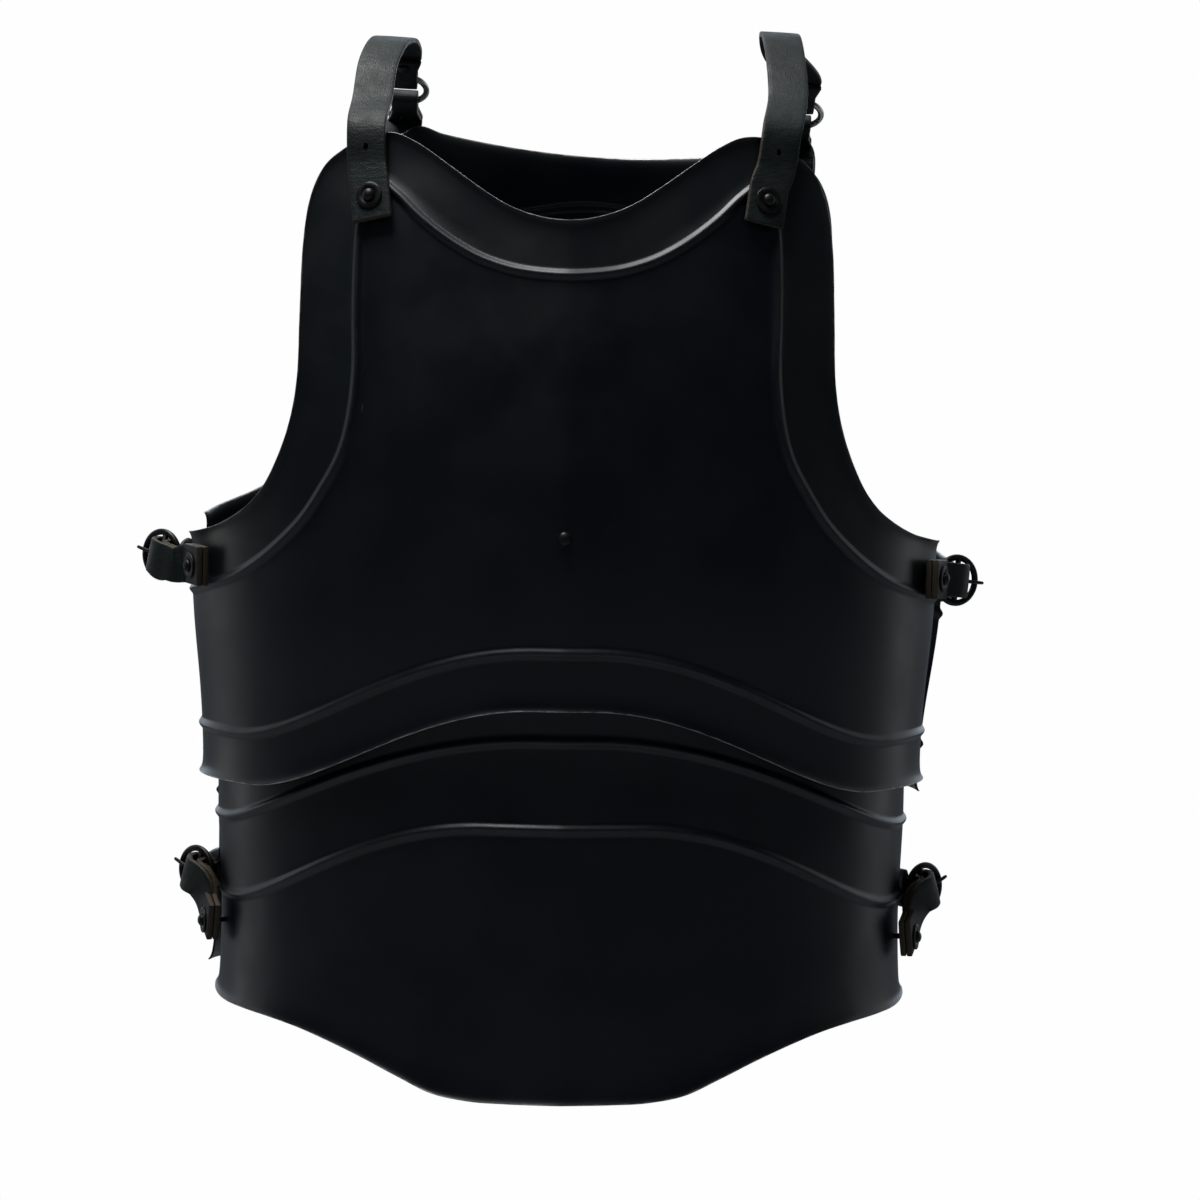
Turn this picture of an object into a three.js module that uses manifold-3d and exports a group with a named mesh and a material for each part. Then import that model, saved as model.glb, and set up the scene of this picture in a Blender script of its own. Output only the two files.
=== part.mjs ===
// A blackened steel cuirass in millimetres: a breastplate and a backplate of two lames each,
// leather shoulder straps on nickel rings, and four side buckles on leather tabs.
// The front faces -Y and up is +Z. The origin is the point that the strap tops hang from.

import * as THREE from "three";
import Module from "manifold-3d";
import { mergeVertices } from "three/addons/utils/BufferGeometryUtils.js";

const wasm = await Module();
wasm.setup();

// Driving dimensions of the steel
const chestHalfWidth = 199;
const frontDepth = 134;
const backDepth = 122;
const armourHeight = 486;
const shoulderDrop = 57;
const sideGap = 8;
const plateWall = 1.2;
const lameSpace = 7;
const beadHeight = 1.8;
const beadHalfWidth = 3.6;
const lipHeight = 2.2;
const lipWidth = 3.4;
const keelRise = 2.5;
const keelHalfWidth = 55;
const hemWidth = 8.5;
const backRoll = 2.8;
const backRollDown = 68.5;

// Driving dimensions of the leather
const strapWidth = 20.5;
const strapThickness = 3;
const tabWidth = 20.5;
const tabThickness = 3;
const foldWidth = 18;
const backStrapThickness = 2;
const hookWidth = 14.5;
const strapEndReach = 12.5;
const tabEndReach = 10;
const flatReach = 7.5;
const passReach = 14;
const tabBrowDown = -1;
const flatMargin = 2;
const bendShare = 0.7;

// Driving dimensions of the rings, tongues and rivets
const ringRadius = 13.8;
const ringWire = 1.7;
const barRadius = 1.5;
const tongueWire = 1;
const rivetShank = 1.5;
const rivetHead = 3.2;
const rivetHeadHeight = 2.4;
const rivetTail = 3;
const rivetTailHeight = 1;
const washerRadius = 6.8;
const washerThickness = 1;
const centreRivetHead = 3.6;
const centreRivetDown = 41.8;
const rivetSides = 6;
const washerSides = 6;

// Small clearances between touching pieces
const seatGap = 0.3;
const lapRest = 0.9;
const passGap = 1.2;

// How far the tools that cut rivet holes reach to each side of their middle
const holeReach = 14;
const closingHole = 6;

// Colours and finishes
const blackSteel = { color: 0x10151d, roughness: 0.38, metalness: 0.9 };
const darkLeather = { color: 0x2c3332, roughness: 0.7, metalness: 0 };
const blackIron = { color: 0x17181a, roughness: 0.5, metalness: 0.85 };
const nickel = { color: 0xb9b8b2, roughness: 0.25, metalness: 1 };

// Names the columns of a short table
const table = (names, rows) =>
  rows.map((row) => Object.fromEntries(names.map((name, index) => [name, row[index]])));

const radians = (degrees) => (degrees * Math.PI) / 180;
const mix = (a, b, share) => a + (b - a) * share;
const clamp = (value, low, high) => Math.min(high, Math.max(low, value));
const vector = (x, y, z) => new THREE.Vector3(x, y, z);

// The body line by height. Down is in hundredths of the armour's height below the shoulder tops,
// and the others are shares of the half width and of the two depths.
const bodyLine = table(["down", "width", "front", "back"], [
  [-4, 0.98, 0.69, 0.73],
  [0, 0.985, 0.71, 0.76],
  [9, 0.99, 0.81, 0.86],
  [27, 0.995, 0.945, 0.985],
  [42, 1, 1, 1],
  [50, 0.997, 1, 0.985],
  [60, 0.975, 0.973, 0.95],
  [66, 0.967, 0.963, 0.93],
  [73, 0.965, 0.974, 0.925],
  [85, 0.955, 0.993, 0.945],
  [100, 0.97, 1.037, 0.99],
]);

// The ribs of the upper plate from the centre line to the side edge. The edge is the neck, the
// shoulder and the armhole, and the bead follows it. Across is in hundredths of the half width,
// down in hundredths of the height, and turn is the angle round the body at the lower edge.
const upperRibs = table(["edgeAcross", "edgeDown", "beadAcross", "beadDown", "turn"], [
  [0, 9.3, 0, 14.9, 0],
  [8.5, 8.8, 8, 14.7, 3.6],
  [16, 7.6, 15, 14.2, 7.2],
  [23.6, 5.6, 22.6, 13.1, 10.8],
  [31.2, 3.3, 30.2, 11.3, 14.3],
  [38.2, 1.3, 37.4, 9, 17.6],
  [44.2, 0.2, 43.7, 6.5, 20.6],
  [50.8, 0.3, 48.7, 5.2, 23.2],
  [56.8, 1.7, 51.5, 7, 25.4],
  [62.3, 3.7, 52.8, 9.7, 27.4],
  [65.8, 7.2, 53.3, 13.8, 29.2],
  [67.3, 12.3, 53.3, 19.1, 30.8],
  [67.7, 19.1, 53, 24.9, 32.3],
  [68.1, 25.9, 54.3, 30, 35],
  [70.4, 31.1, 56.8, 33.7, 38.5],
  [74.9, 35.8, 61.1, 37, 43],
  [79.4, 38.5, 66.8, 40.5, 48.5],
  [84.4, 40.2, 74.9, 43.8, 55],
  [89.7, 41.4, 83.4, 46.3, 62.5],
  [94.2, 42, 91, 47.6, 70.5],
  [98, 42.4, 97, 48.4, 80],
  [100, 42.6, 100, 48.9, 90],
]);

// The ribs of the lower plate, with its hidden top edge and its hem
const lowerRibs = table(["turn", "topDown", "hemDown"], [
  [0, 38.9, 100],
  [8, 39.5, 100],
  [14, 41.4, 99.9],
  [20, 44.3, 99.3],
  [26, 47.6, 97.8],
  [33, 50.8, 96.1],
  [40, 53.7, 94.8],
  [47, 55.8, 93.9],
  [55, 57.6, 93.4],
  [64, 59, 93.2],
  [73, 60.1, 93.1],
  [82, 60.7, 92.8],
  [90, 60.9, 92.4],
]);

// Beads and edges that cross the body in an arch: level at the centre down to one angle, level
// again at the sides from another, with a half wave between
const arches = {
  lowBead: { down: 53.5, fall: 10, from: 4, to: 60 },
  lowEdge: { down: 59.5, fall: 9.3, from: 4, to: 56 },
  firstBead: { down: 62.8, fall: 10.5, from: 4, to: 78 },
  secondBead: { down: 71.9, fall: 9.6, from: 12, to: 72 },
};

function arch({ down, fall, from, to }, turn) {
  const share = clamp((turn - from) / (to - from), 0, 1);
  return down + (fall * (1 - Math.cos(Math.PI * share))) / 2;
}

// A smooth curve through one column of a table
function along(rows, key, value, at) {
  const last = rows.length - 2;
  let index = 0;
  while (index < last && rows[index + 1][key] < at) index += 1;
  const slope = (i) => {
    const before = rows[Math.max(0, i - 1)];
    const after = rows[Math.min(rows.length - 1, i + 1)];
    return (after[value] - before[value]) / (after[key] - before[key]);
  };
  const a = rows[index];
  const b = rows[index + 1];
  const span = b[key] - a[key];
  const t = clamp((at - a[key]) / span, 0, 1);
  const ease = t * t * (3 - 2 * t);
  const leave = t * (1 - t) * (1 - t) * span * slope(index);
  const arrive = t * t * (t - 1) * span * slope(index + 1);
  return mix(a[value], b[value], ease) + leave + arrive;
}

const heightAt = (down) => -shoulderDrop - (down * armourHeight) / 100;
const widthAt = (down) => chestHalfWidth * along(bodyLine, "down", "width", down);
const turnAt = (across, down) =>
  (Math.asin(clamp((across * chestHalfWidth) / 100 / widthAt(down), -1, 1)) * 180) / Math.PI;

// How far the lower lame lies inside the upper one, from just below the rivet down to the overlap
const lapStart = centreRivetDown + 0.6;
function lapInset(down) {
  const share = clamp((down - lapStart) / (arches.lowEdge.down - centreRivetDown), 0, 1);
  return plateWall + mix(lapRest, lameSpace, share);
}

// A point of the body line: side is -1 in front and 1 behind
function bodyPoint(side, turn, down, inset) {
  const angle = radians(turn);
  const depth = side < 0 ? frontDepth : backDepth;
  const reach = depth * along(bodyLine, "down", side < 0 ? "front" : "back", down) - inset;
  const x = (widthAt(down) - inset) * Math.sin(angle);
  const keel = keelRise * Math.max(0, 1 - Math.abs(x) / keelHalfWidth) ** 2;
  return vector(x, side * (sideGap / 2 + reach * Math.cos(angle) + keel), heightAt(down));
}

function bodyNormal(side, turn, down, inset) {
  const step = 0.2;
  const round = bodyPoint(side, turn + step, down, inset(down))
    .sub(bodyPoint(side, turn - step, down, inset(down)));
  const fall = bodyPoint(side, turn, down + step, inset(down + step))
    .sub(bodyPoint(side, turn, down - step, inset(down - step)));
  return round.cross(fall).normalize().multiplyScalar(side);
}

const noInset = () => 0;

// A place on a plate: the point, the outward normal, the way round the body and the way up
function seat(side, turn, down, inset = noInset) {
  const normal = bodyNormal(side, turn, down, inset);
  const point = bodyPoint(side, turn, down, inset(down));
  const round = vector(0, 0, 1).cross(normal).normalize();
  return { point, normal, round, up: normal.clone().cross(round) };
}

// Moves from one rib point toward another by a real distance, with a lift off the body line
function toward(side, from, to, distance, lift = 0) {
  const start = bodyPoint(side, from.turn, from.down, 0);
  const length = start.distanceTo(bodyPoint(side, to.turn, to.down, 0));
  const share = clamp(distance / length, 0, 1);
  return { turn: mix(from.turn, to.turn, share), down: mix(from.down, to.down, share), lift };
}

const between = (a, b, share) => ({
  turn: mix(a.turn, b.turn, share),
  down: mix(a.down, b.down, share),
  lift: 0,
});

const beadOf = (rib) => ({ turn: turnAt(rib.beadAcross, rib.beadDown), down: rib.beadDown });
const mirroredAt = (turn, point) => ({ turn: 2 * turn - point.turn, down: point.down });

// A point at a real distance from the bead of one rib, square to the bead and on its inner side
function besideBead(side, ribs, index, distance) {
  const last = ribs.length - 1;
  const from = beadOf(ribs[index]);
  const before = index > 0 ? beadOf(ribs[index - 1]) : mirroredAt(0, beadOf(ribs[1]));
  const after = index < last ? beadOf(ribs[index + 1]) : mirroredAt(90, beadOf(ribs[last - 1]));
  const point = bodyPoint(side, from.turn, from.down, 0);
  const perTurn = bodyPoint(side, from.turn + 1, from.down, 0).distanceTo(point);
  const perDown = bodyPoint(side, from.turn, from.down + 1, 0).distanceTo(point);
  const round = (after.turn - before.turn) * perTurn;
  const fall = (after.down - before.down) * perDown;
  const share = distance / Math.hypot(round, fall);
  return { turn: from.turn - (share * fall) / perTurn, down: from.down + (share * round) / perDown, lift: 0 };
}

// The rows of one rib of an upper plate, from its top edge to its lower edge
function upperColumn(side, ribs, index) {
  const rib = ribs[index];
  const edge = { turn: turnAt(rib.edgeAcross, rib.edgeDown), down: rib.edgeDown };
  const bead = beadOf(rib);
  const foot = besideBead(side, ribs, index, beadHalfWidth);
  const lowBead = { turn: rib.turn, down: arch(arches.lowBead, rib.turn) };
  const lowEdge = { turn: rib.turn, down: arch(arches.lowEdge, rib.turn) };
  return [
    { ...edge, lift: lipHeight },
    toward(side, edge, bead, lipWidth, lipHeight / 4),
    toward(side, bead, edge, beadHalfWidth),
    { ...bead, lift: beadHeight },
    foot,
    between(foot, lowBead, 0.36),
    between(foot, lowBead, 0.7),
    toward(side, lowBead, bead, beadHalfWidth),
    { ...lowBead, lift: beadHeight },
    toward(side, lowBead, lowEdge, beadHalfWidth),
    toward(side, lowEdge, lowBead, lipWidth, lipHeight / 4),
    { ...lowEdge, lift: lipHeight },
  ];
}

// The rows of one rib of a lower plate, from its hidden top edge to the hem
function lowerColumn(side, ribs, index, hemDip) {
  const rib = ribs[index];
  const level = lowerRibs[lowerRibs.length - 1].hemDown;
  const top = { turn: rib.turn, down: rib.topDown };
  const first = { turn: rib.turn, down: arch(arches.firstBead, rib.turn) };
  const second = { turn: rib.turn, down: arch(arches.secondBead, rib.turn) };
  const hem = { turn: rib.turn, down: mix(level, rib.hemDown, hemDip) };
  return [
    { ...top, lift: 0 },
    between(top, first, 0.13),
    between(top, first, 0.5),
    toward(side, first, top, beadHalfWidth),
    { ...first, lift: beadHeight },
    toward(side, first, second, beadHalfWidth),
    toward(side, second, first, beadHalfWidth),
    { ...second, lift: beadHeight },
    toward(side, second, hem, beadHalfWidth),
    between(second, hem, 0.5),
    toward(side, hem, second, hemWidth),
    { ...hem, lift: lipHeight },
  ];
}

// Merges the corners of a closed mesh and gives its solid
function solidOf(geometry) {
  const bare = geometry.clone();
  bare.deleteAttribute("normal");
  bare.deleteAttribute("uv");
  const merged = mergeVertices(bare, 1e-4);
  return new wasm.Manifold(new wasm.Mesh({
    numProp: 3,
    vertProperties: new Float32Array(merged.attributes.position.array),
    triVerts: new Uint32Array(merged.index.array),
  }));
}

function geometryOf(solid) {
  const mesh = solid.getMesh();
  const geometry = new THREE.BufferGeometry();
  geometry.setAttribute("position", new THREE.BufferAttribute(mesh.vertProperties, 3));
  geometry.setIndex(new THREE.BufferAttribute(mesh.triVerts, 1));
  return geometry;
}

// Closes a grid of outer points and a grid of inner points into one wall
function wallGeometry(outer, inner) {
  const columns = outer.length;
  const rows = outer[0].length;
  const points = [...outer.flat(), ...inner.flat()];
  const at = (layer, column, row) => layer * columns * rows + column * rows + row;
  const faces = [];
  const quad = (a, b, c, d) => faces.push(a, b, c, a, c, d);
  for (let i = 0; i < columns - 1; i += 1) {
    for (let j = 0; j < rows - 1; j += 1) {
      quad(at(0, i, j), at(0, i, j + 1), at(0, i + 1, j + 1), at(0, i + 1, j));
      quad(at(1, i, j), at(1, i + 1, j), at(1, i + 1, j + 1), at(1, i, j + 1));
    }
    quad(at(0, i, 0), at(0, i + 1, 0), at(1, i + 1, 0), at(1, i, 0));
    quad(at(0, i, rows - 1), at(1, i, rows - 1), at(1, i + 1, rows - 1), at(0, i + 1, rows - 1));
  }
  for (let j = 0; j < rows - 1; j += 1) {
    quad(at(0, 0, j), at(1, 0, j), at(1, 0, j + 1), at(0, 0, j + 1));
    const end = columns - 1;
    quad(at(0, end, j), at(0, end, j + 1), at(1, end, j + 1), at(1, end, j));
  }
  const corners = points.flatMap((point) => point.toArray());
  const geometry = new THREE.BufferGeometry();
  geometry.setAttribute("position", new THREE.Float32BufferAttribute(corners, 3));
  geometry.setIndex(faces);
  return geometry;
}

// A plate from its half table of ribs, mirrored about the centre line
function plateGeometry({ side, ribs, columnOf, inset, hemDip }) {
  const half = ribs.map((rib, index) => columnOf(side, ribs, index, hemDip));
  const mirrored = half.slice(1).reverse().map((column) =>
    column.map((point) => ({ ...point, turn: -point.turn })));
  const columns = [...mirrored, ...half];
  if (side > 0) columns.reverse();
  const outer = [];
  const inner = [];
  for (const column of columns) {
    const layer = (rise) => column.map(({ turn, down, lift }) => {
      const { point, normal } = seat(side, turn, down, inset);
      return point.addScaledVector(normal, lift + rise);
    });
    outer.push(layer(0));
    inner.push(layer(-plateWall));
  }
  return wallGeometry(outer, inner);
}

// A hole for a rivet's shank along a normal, as a solid to cut with
function shankHole(point, normal, reach) {
  const radius = rivetShank + seatGap;
  const pin = new THREE.CylinderGeometry(radius, radius, 2 * reach, rivetSides).rotateX(Math.PI / 2);
  pin.applyQuaternion(new THREE.Quaternion().setFromUnitVectors(vector(0, 0, 1), normal));
  pin.translate(point.x, point.y, point.z);
  return solidOf(pin);
}

function cut(geometry, tools) {
  return geometryOf(tools.reduce((solid, tool) => solid.subtract(tool), solidOf(geometry)));
}

// A strip of leather: stations hold the middle of the strip, its width direction and its width,
// and where it lies flat also the way that its face looks
function stripGeometry(stations, thickness) {
  const middle = stations.map((station) => station.point);
  const outer = [];
  const inner = [];
  stations.forEach(({ across, width, lie }, index) => {
    const before = middle[Math.max(0, index - 1)];
    const after = middle[Math.min(middle.length - 1, index + 1)];
    const ahead = after.clone().sub(before).normalize();
    const bent = across.clone().cross(ahead).normalize();
    const face = lie ? lie.clone().multiplyScalar(Math.sign(lie.dot(bent))) : bent;
    const square = lie ? across : ahead.clone().cross(face).normalize();
    const corner = (side, lift) => middle[index].clone()
      .addScaledVector(square, (side * width) / 2)
      .addScaledVector(face, (lift * thickness) / 2);
    outer.push([corner(-1, 1), corner(1, 1)]);
    inner.push([corner(-1, -1), corner(1, -1)]);
  });
  const strip = wallGeometry(outer, inner);
  return volumeOf(strip) < 0 ? turnedOut(strip) : strip;
}

function volumeOf(geometry) {
  const p = geometry.attributes.position;
  const corner = (i) => vector(p.getX(i), p.getY(i), p.getZ(i));
  let sum = 0;
  for (let i = 0; i < geometry.index.count; i += 3) {
    const [a, b, c] = [0, 1, 2].map((k) => corner(geometry.index.getX(i + k)));
    sum += a.dot(b.cross(c)) / 6;
  }
  return sum;
}

function turnedOut(geometry) {
  const faces = Array.from(geometry.index.array);
  for (let i = 0; i < faces.length; i += 3) [faces[i], faces[i + 1]] = [faces[i + 1], faces[i]];
  geometry.setIndex(faces);
  return geometry;
}

// Stations through chosen marks: each mark has its point, width direction, width and the number
// of steps to the next mark. One step is a straight stretch and more follow a smooth curve.
const mark = (point, across, width, steps = 1) => ({ point, across, width, steps });
const flatMark = (point, across, width, lie) => ({ point, across, width, lie, steps: 1 });

function stationsThrough(marks) {
  const curve = new THREE.CatmullRomCurve3(marks.map(({ point }) => point), false, "centripetal");
  const last = marks.length - 1;
  const stations = marks.slice(0, last).flatMap((from, index) => {
    const to = marks[index + 1];
    return Array.from({ length: from.steps }, (unused, step) => {
      const share = step / from.steps;
      return {
        point: curve.getPoint((index + share) / last),
        across: from.across.clone().lerp(to.across, share).normalize(),
        width: mix(from.width, to.width, share),
        lie: step === 0 ? from.lie : undefined,
      };
    });
  });
  return [...stations, marks[last]];
}

// A rivet along +Z: its tail below zero, its shank through the grip and its dome on top
function rivetGeometry(grip, head) {
  const profile = [
    [0, -rivetTailHeight],
    [rivetTail, -rivetTailHeight],
    [rivetTail, 0],
    [rivetShank, 0],
    [rivetShank, grip],
    [head, grip],
    [head * 0.8, grip + rivetHeadHeight * 0.62],
    [0, grip + rivetHeadHeight],
  ];
  return new THREE.LatheGeometry(profile.map(([r, z]) => new THREE.Vector2(r, z)), rivetSides)
    .rotateX(Math.PI / 2);
}

function washerGeometry() {
  const hole = rivetShank + seatGap;
  const profile = [
    [hole, 0],
    [washerRadius, 0],
    [washerRadius, washerThickness],
    [hole, washerThickness],
    [hole, 0],
  ];
  return new THREE.LatheGeometry(profile.map(([r, z]) => new THREE.Vector2(r, z)), washerSides)
    .rotateX(Math.PI / 2);
}

// A mesh whose local Z lies along a normal
function placed(name, geometry, finish, point, normal) {
  const mesh = new THREE.Mesh(geometry, new THREE.MeshStandardMaterial(finish));
  mesh.name = name;
  if (point) mesh.position.copy(point);
  if (normal) mesh.quaternion.setFromUnitVectors(vector(0, 0, 1), normal);
  return mesh;
}

const armour = new THREE.Group();
const front = new THREE.Group();
const back = new THREE.Group();
armour.add(front, back);

// The backplate hangs a little rolled against the breastplate, about a point at the waist
const rollHeight = heightAt(backRollDown);
back.position.set(
  -rollHeight * Math.sin(radians(backRoll)),
  0,
  rollHeight * (1 - Math.cos(radians(backRoll))),
);
back.rotation.y = radians(backRoll);
back.updateMatrix();

// The backplate's ribs: the same armhole, a higher shoulder and a shallow neck
const backNeckDown = -0.6;
const backNeckRise = 1.5;
const backShoulderRise = 4;
const neckEndAcross = 45;
const plainTurns = [3.6, 10.8, 30.8, 43, 70.5];
const plainLowerTurns = [14, 26, 47, 73];
const backRibs = upperRibs.filter((rib) => !plainTurns.includes(rib.turn)).map((rib) => {
  const shoulder = rib.edgeDown - backShoulderRise * (1 - rib.turn / 90);
  const neck = backNeckDown - backNeckRise * (rib.edgeAcross / neckEndAcross) ** 2;
  const edgeDown = rib.edgeAcross < neckEndAcross ? neck : shoulder;
  return { ...rib, edgeDown, beadDown: edgeDown + rib.beadDown - rib.edgeDown };
});
const backLowerRibs = lowerRibs.filter((rib) => !plainLowerTurns.includes(rib.turn));
const backHemDip = 0.6;

// Where the shoulder straps and the tabs behind are riveted: turn round the body and height down
const strapSeat = { turn: 30.2, down: 7 };
const backTabSeat = { turn: 34.1, down: 4.5 };

// The side buckles: the rivet's turn and height on the front plate, how far the ring lies out,
// behind and above it, the ring's yaw and dip, and the back strap's rivet on the backplate
const seatRows = table(
  ["side", "lame", "mirror", "turn", "down", "out", "behind", "rise", "yaw", "dip", "backTurn", "backDown"],
  [
    ["left", "upper", -1, 70, 45.9, 26, 25, 4, 37, 14, 70, 49.6],
    ["right", "upper", 1, 73, 46.4, 18, 19, -2, 29, -6, 70, 46.5],
    ["left", "lower", -1, 78, 84.8, 17, 19, 23, 42, 20, 70, 83],
    ["right", "lower", 1, 78, 85.8, 17.5, 19, 23, 41, 20, 70, 81],
  ],
);
// How each lame's tabs and straps end: how far over the plate the tab lies above its clearance,
// how far past the ring's middle it stays in the ring's plane, and the strap's tail under it
const hookTop = ringWire + seatGap + backStrapThickness / 2;
const lameEnds = {
  upper: { over: 0.8, foldReach: 19, tail: 16.5, tailTop: hookTop, tailRise: 0, tailWidth: 12 },
  lower: { over: 4.2, foldReach: 13, tail: 15.8, tailTop: 2.5, tailRise: 5, tailWidth: 13 },
};
const sideSeats = seatRows.map((row) => ({ ...row, ...lameEnds[row.lame] }));

// The four plates, each whole at first, so that what lies on it can be measured against it
const plates = {
  front_upper: { side: -1, group: front, inset: noInset, ribs: upperRibs, columnOf: upperColumn },
  front_lower: { side: -1, group: front, inset: lapInset, ribs: lowerRibs, columnOf: lowerColumn, hemDip: 1 },
  back_upper: { side: 1, group: back, inset: noInset, ribs: backRibs, columnOf: upperColumn },
  back_lower: {
    side: 1,
    group: back,
    inset: lapInset,
    ribs: backLowerRibs,
    columnOf: lowerColumn,
    hemDip: backHemDip,
  },
};
const bothSides = new THREE.MeshBasicMaterial({ side: THREE.DoubleSide });
for (const plate of Object.values(plates)) {
  plate.geometry = plateGeometry(plate);
  plate.whole = new THREE.Mesh(plate.geometry, bothSides);
  plate.whole.matrixWorld.copy(plate.group.matrix);
}

// A place on a plate as it hangs: the point, the normal, the way round the body and the way up
function placeOn(plate, turn, down) {
  const place = seat(plate.side, turn, down, plate.inset);
  const frame = plate.group.matrix;
  return {
    plate,
    turn,
    down,
    point: place.point.applyMatrix4(frame),
    normal: place.normal.transformDirection(frame),
    round: place.round.transformDirection(frame),
    up: place.up.transformDirection(frame),
  };
}

// How high a plate's outer face rises and how low its inner face lies round a place, over a
// square of a given half side in its tangent plane
const caster = new THREE.Raycaster();
const castReach = 30;
const castSteps = [-1, -0.75, -0.5, -0.25, 0, 0.25, 0.5, 0.75, 1];
function spanAt(place, half) {
  caster.far = 2 * castReach;
  const heights = castSteps.flatMap((across) => castSteps.flatMap((along) => {
    const origin = place.point.clone()
      .addScaledVector(place.round, half * across)
      .addScaledVector(place.up, half * along)
      .addScaledVector(place.normal, castReach);
    caster.set(origin, place.normal.clone().negate());
    return caster.intersectObject(place.plate.whole, false).map((hit) => castReach - hit.distance);
  }));
  return { high: Math.max(...heights), low: Math.min(...heights) };
}

// The height of a strip's middle that lies flat on a plate, with a small clearance
const liftOver = (place, half, thickness) => spanAt(place, half).high + seatGap + thickness / 2;

// A point in a place's tangent plane, moved along one way in it and lifted
const shifted = (place, way, reach, lift) =>
  place.point.clone().addScaledVector(way, reach).addScaledVector(place.normal, lift);

// Moves a point sideways until a strip through it clears the sides of all four plates
function clearOfSides(point, mirror, halfWidth, thickness) {
  caster.far = 2 * chestHalfWidth;
  const wholes = Object.values(plates).map((plate) => plate.whole);
  const reaches = castSteps.flatMap((high) => castSteps.map((along) => {
    const y = point.y + along * passReach;
    const z = point.z + high * (halfWidth + seatGap);
    caster.set(vector(mirror * 2 * chestHalfWidth, y, z), vector(-mirror, 0, 0));
    const hits = caster.intersectObjects(wholes, false);
    return hits.length > 0 ? 2 * chestHalfWidth - hits[0].distance : 0;
  }));
  const least = Math.max(...reaches) + passGap + thickness / 2;
  return vector(mirror * Math.max(least, mirror * point.x), point.y, point.z);
}

// A rivet through a plate and what lies on it, with its head at a height over the place
function addRivet(name, place, top, head = rivetHead) {
  const { low } = spanAt(place, rivetTail);
  const foot = place.point.clone().addScaledVector(place.normal, low - seatGap);
  armour.add(placed(name, rivetGeometry(top - low + seatGap, head), blackIron, foot, place.normal));
}

function addWasher(name, place, height) {
  const point = place.point.clone().addScaledVector(place.normal, height);
  armour.add(placed(name, washerGeometry(), blackIron, point, place.normal));
}

const holeIn = (place, reach) => shankHole(place.point, place.normal, reach);

// Every rivet's place on the plates
const seatPair = (plate, { turn, down }) => [-1, 1].map((mirror) => placeOn(plate, mirror * turn, down));
const strapPlaces = seatPair(plates.front_upper, strapSeat);
const tabPlaces = seatPair(plates.back_upper, backTabSeat);
const sides = sideSeats.map((row) => ({
  ...row,
  name: `${row.side}_${row.lame}`,
  frontPlace: placeOn(plates[`front_${row.lame}`], row.mirror * row.turn, row.down),
  backPlace: placeOn(plates[`back_${row.lame}`], row.mirror * row.backTurn, row.backDown),
}));
const centrePlaces = Object.values(plates).map((plate) => placeOn(plate, 0, centreRivetDown));
const allPlaces = [
  ...centrePlaces,
  ...strapPlaces,
  ...tabPlaces,
  ...sides.flatMap(({ frontPlace, backPlace }) => [frontPlace, backPlace]),
];

for (const [name, plate] of Object.entries(plates)) {
  const hang = plate.group.matrix.clone().invert();
  const holes = allPlaces.filter((place) => place.plate === plate).map((place) => {
    const point = place.point.clone().applyMatrix4(hang);
    return shankHole(point, place.normal.clone().transformDirection(hang), holeReach);
  });
  plate.group.add(placed(`${name}_plate`, cut(plate.geometry, holes), blackSteel));
}

// The rivets that join the two lames of each side
for (const [index, label] of ["front", "back"].entries()) {
  const [outerPlace, innerPlace] = centrePlaces.slice(2 * index);
  const { high } = spanAt(outerPlace, centreRivetHead);
  const drop = innerPlace.point.clone().sub(outerPlace.point).dot(outerPlace.normal);
  const bottom = drop + spanAt(innerPlace, rivetTail).low - seatGap;
  const foot = outerPlace.point.clone().addScaledVector(outerPlace.normal, bottom);
  const rivet = rivetGeometry(high + seatGap - bottom, centreRivetHead);
  armour.add(placed(`${label}_centre_rivet`, rivet, blackIron, foot, outerPlace.normal));
}

// A ring in the plane of its local X and Y, with or without a bar along Y
const ringMiddle = ringRadius - ringWire;
function ringGeometry(withBar) {
  const ring = new THREE.TorusGeometry(ringMiddle, ringWire, 5, 12);
  if (!withBar) return ring;
  const bar = new THREE.CylinderGeometry(barRadius, barRadius, 2 * ringMiddle, 5);
  return geometryOf(solidOf(ring).add(solidOf(bar)));
}

// A frame whose X runs from a ring's middle toward its tab, Y along its bar and Z to the outside
function ringFrame(centre, toTab, outward) {
  const x = toTab.clone().normalize();
  const z = outward.clone().addScaledVector(x, -outward.dot(x)).normalize();
  return new THREE.Matrix4().makeBasis(x, z.clone().cross(x), z).setPosition(centre);
}
const inFrame = (frame, u, n) => vector(u, 0, n).applyMatrix4(frame);
const wayIn = (frame, x, y, z) => vector(x, y, z).transformDirection(frame);

// A bent wire of even section through points of a frame's X and Z
function wireGeometry(frame, points, radius) {
  const across = wayIn(frame, 0, 1, 0);
  const stations = points.map(([u, n]) => ({ point: inFrame(frame, u, n), across, width: 2 * radius }));
  return stripGeometry(stations, 2 * radius);
}

// The tongue: an eye round the bar, then a straight pin over the rim
const eyeRadius = barRadius + seatGap + tongueWire;
const eye = Array.from({ length: 6 }, (unused, i) => {
  const angle = radians(mix(-150, 90, i / 5));
  return [eyeRadius * Math.cos(angle), eyeRadius * Math.sin(angle)];
});
const rimTop = ringWire + seatGap;
const tongueLine = [
  ...eye,
  [-ringRadius / 2, rimTop + tongueWire],
  [-ringRadius - tongueWire * 2, rimTop + tongueWire],
];

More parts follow.
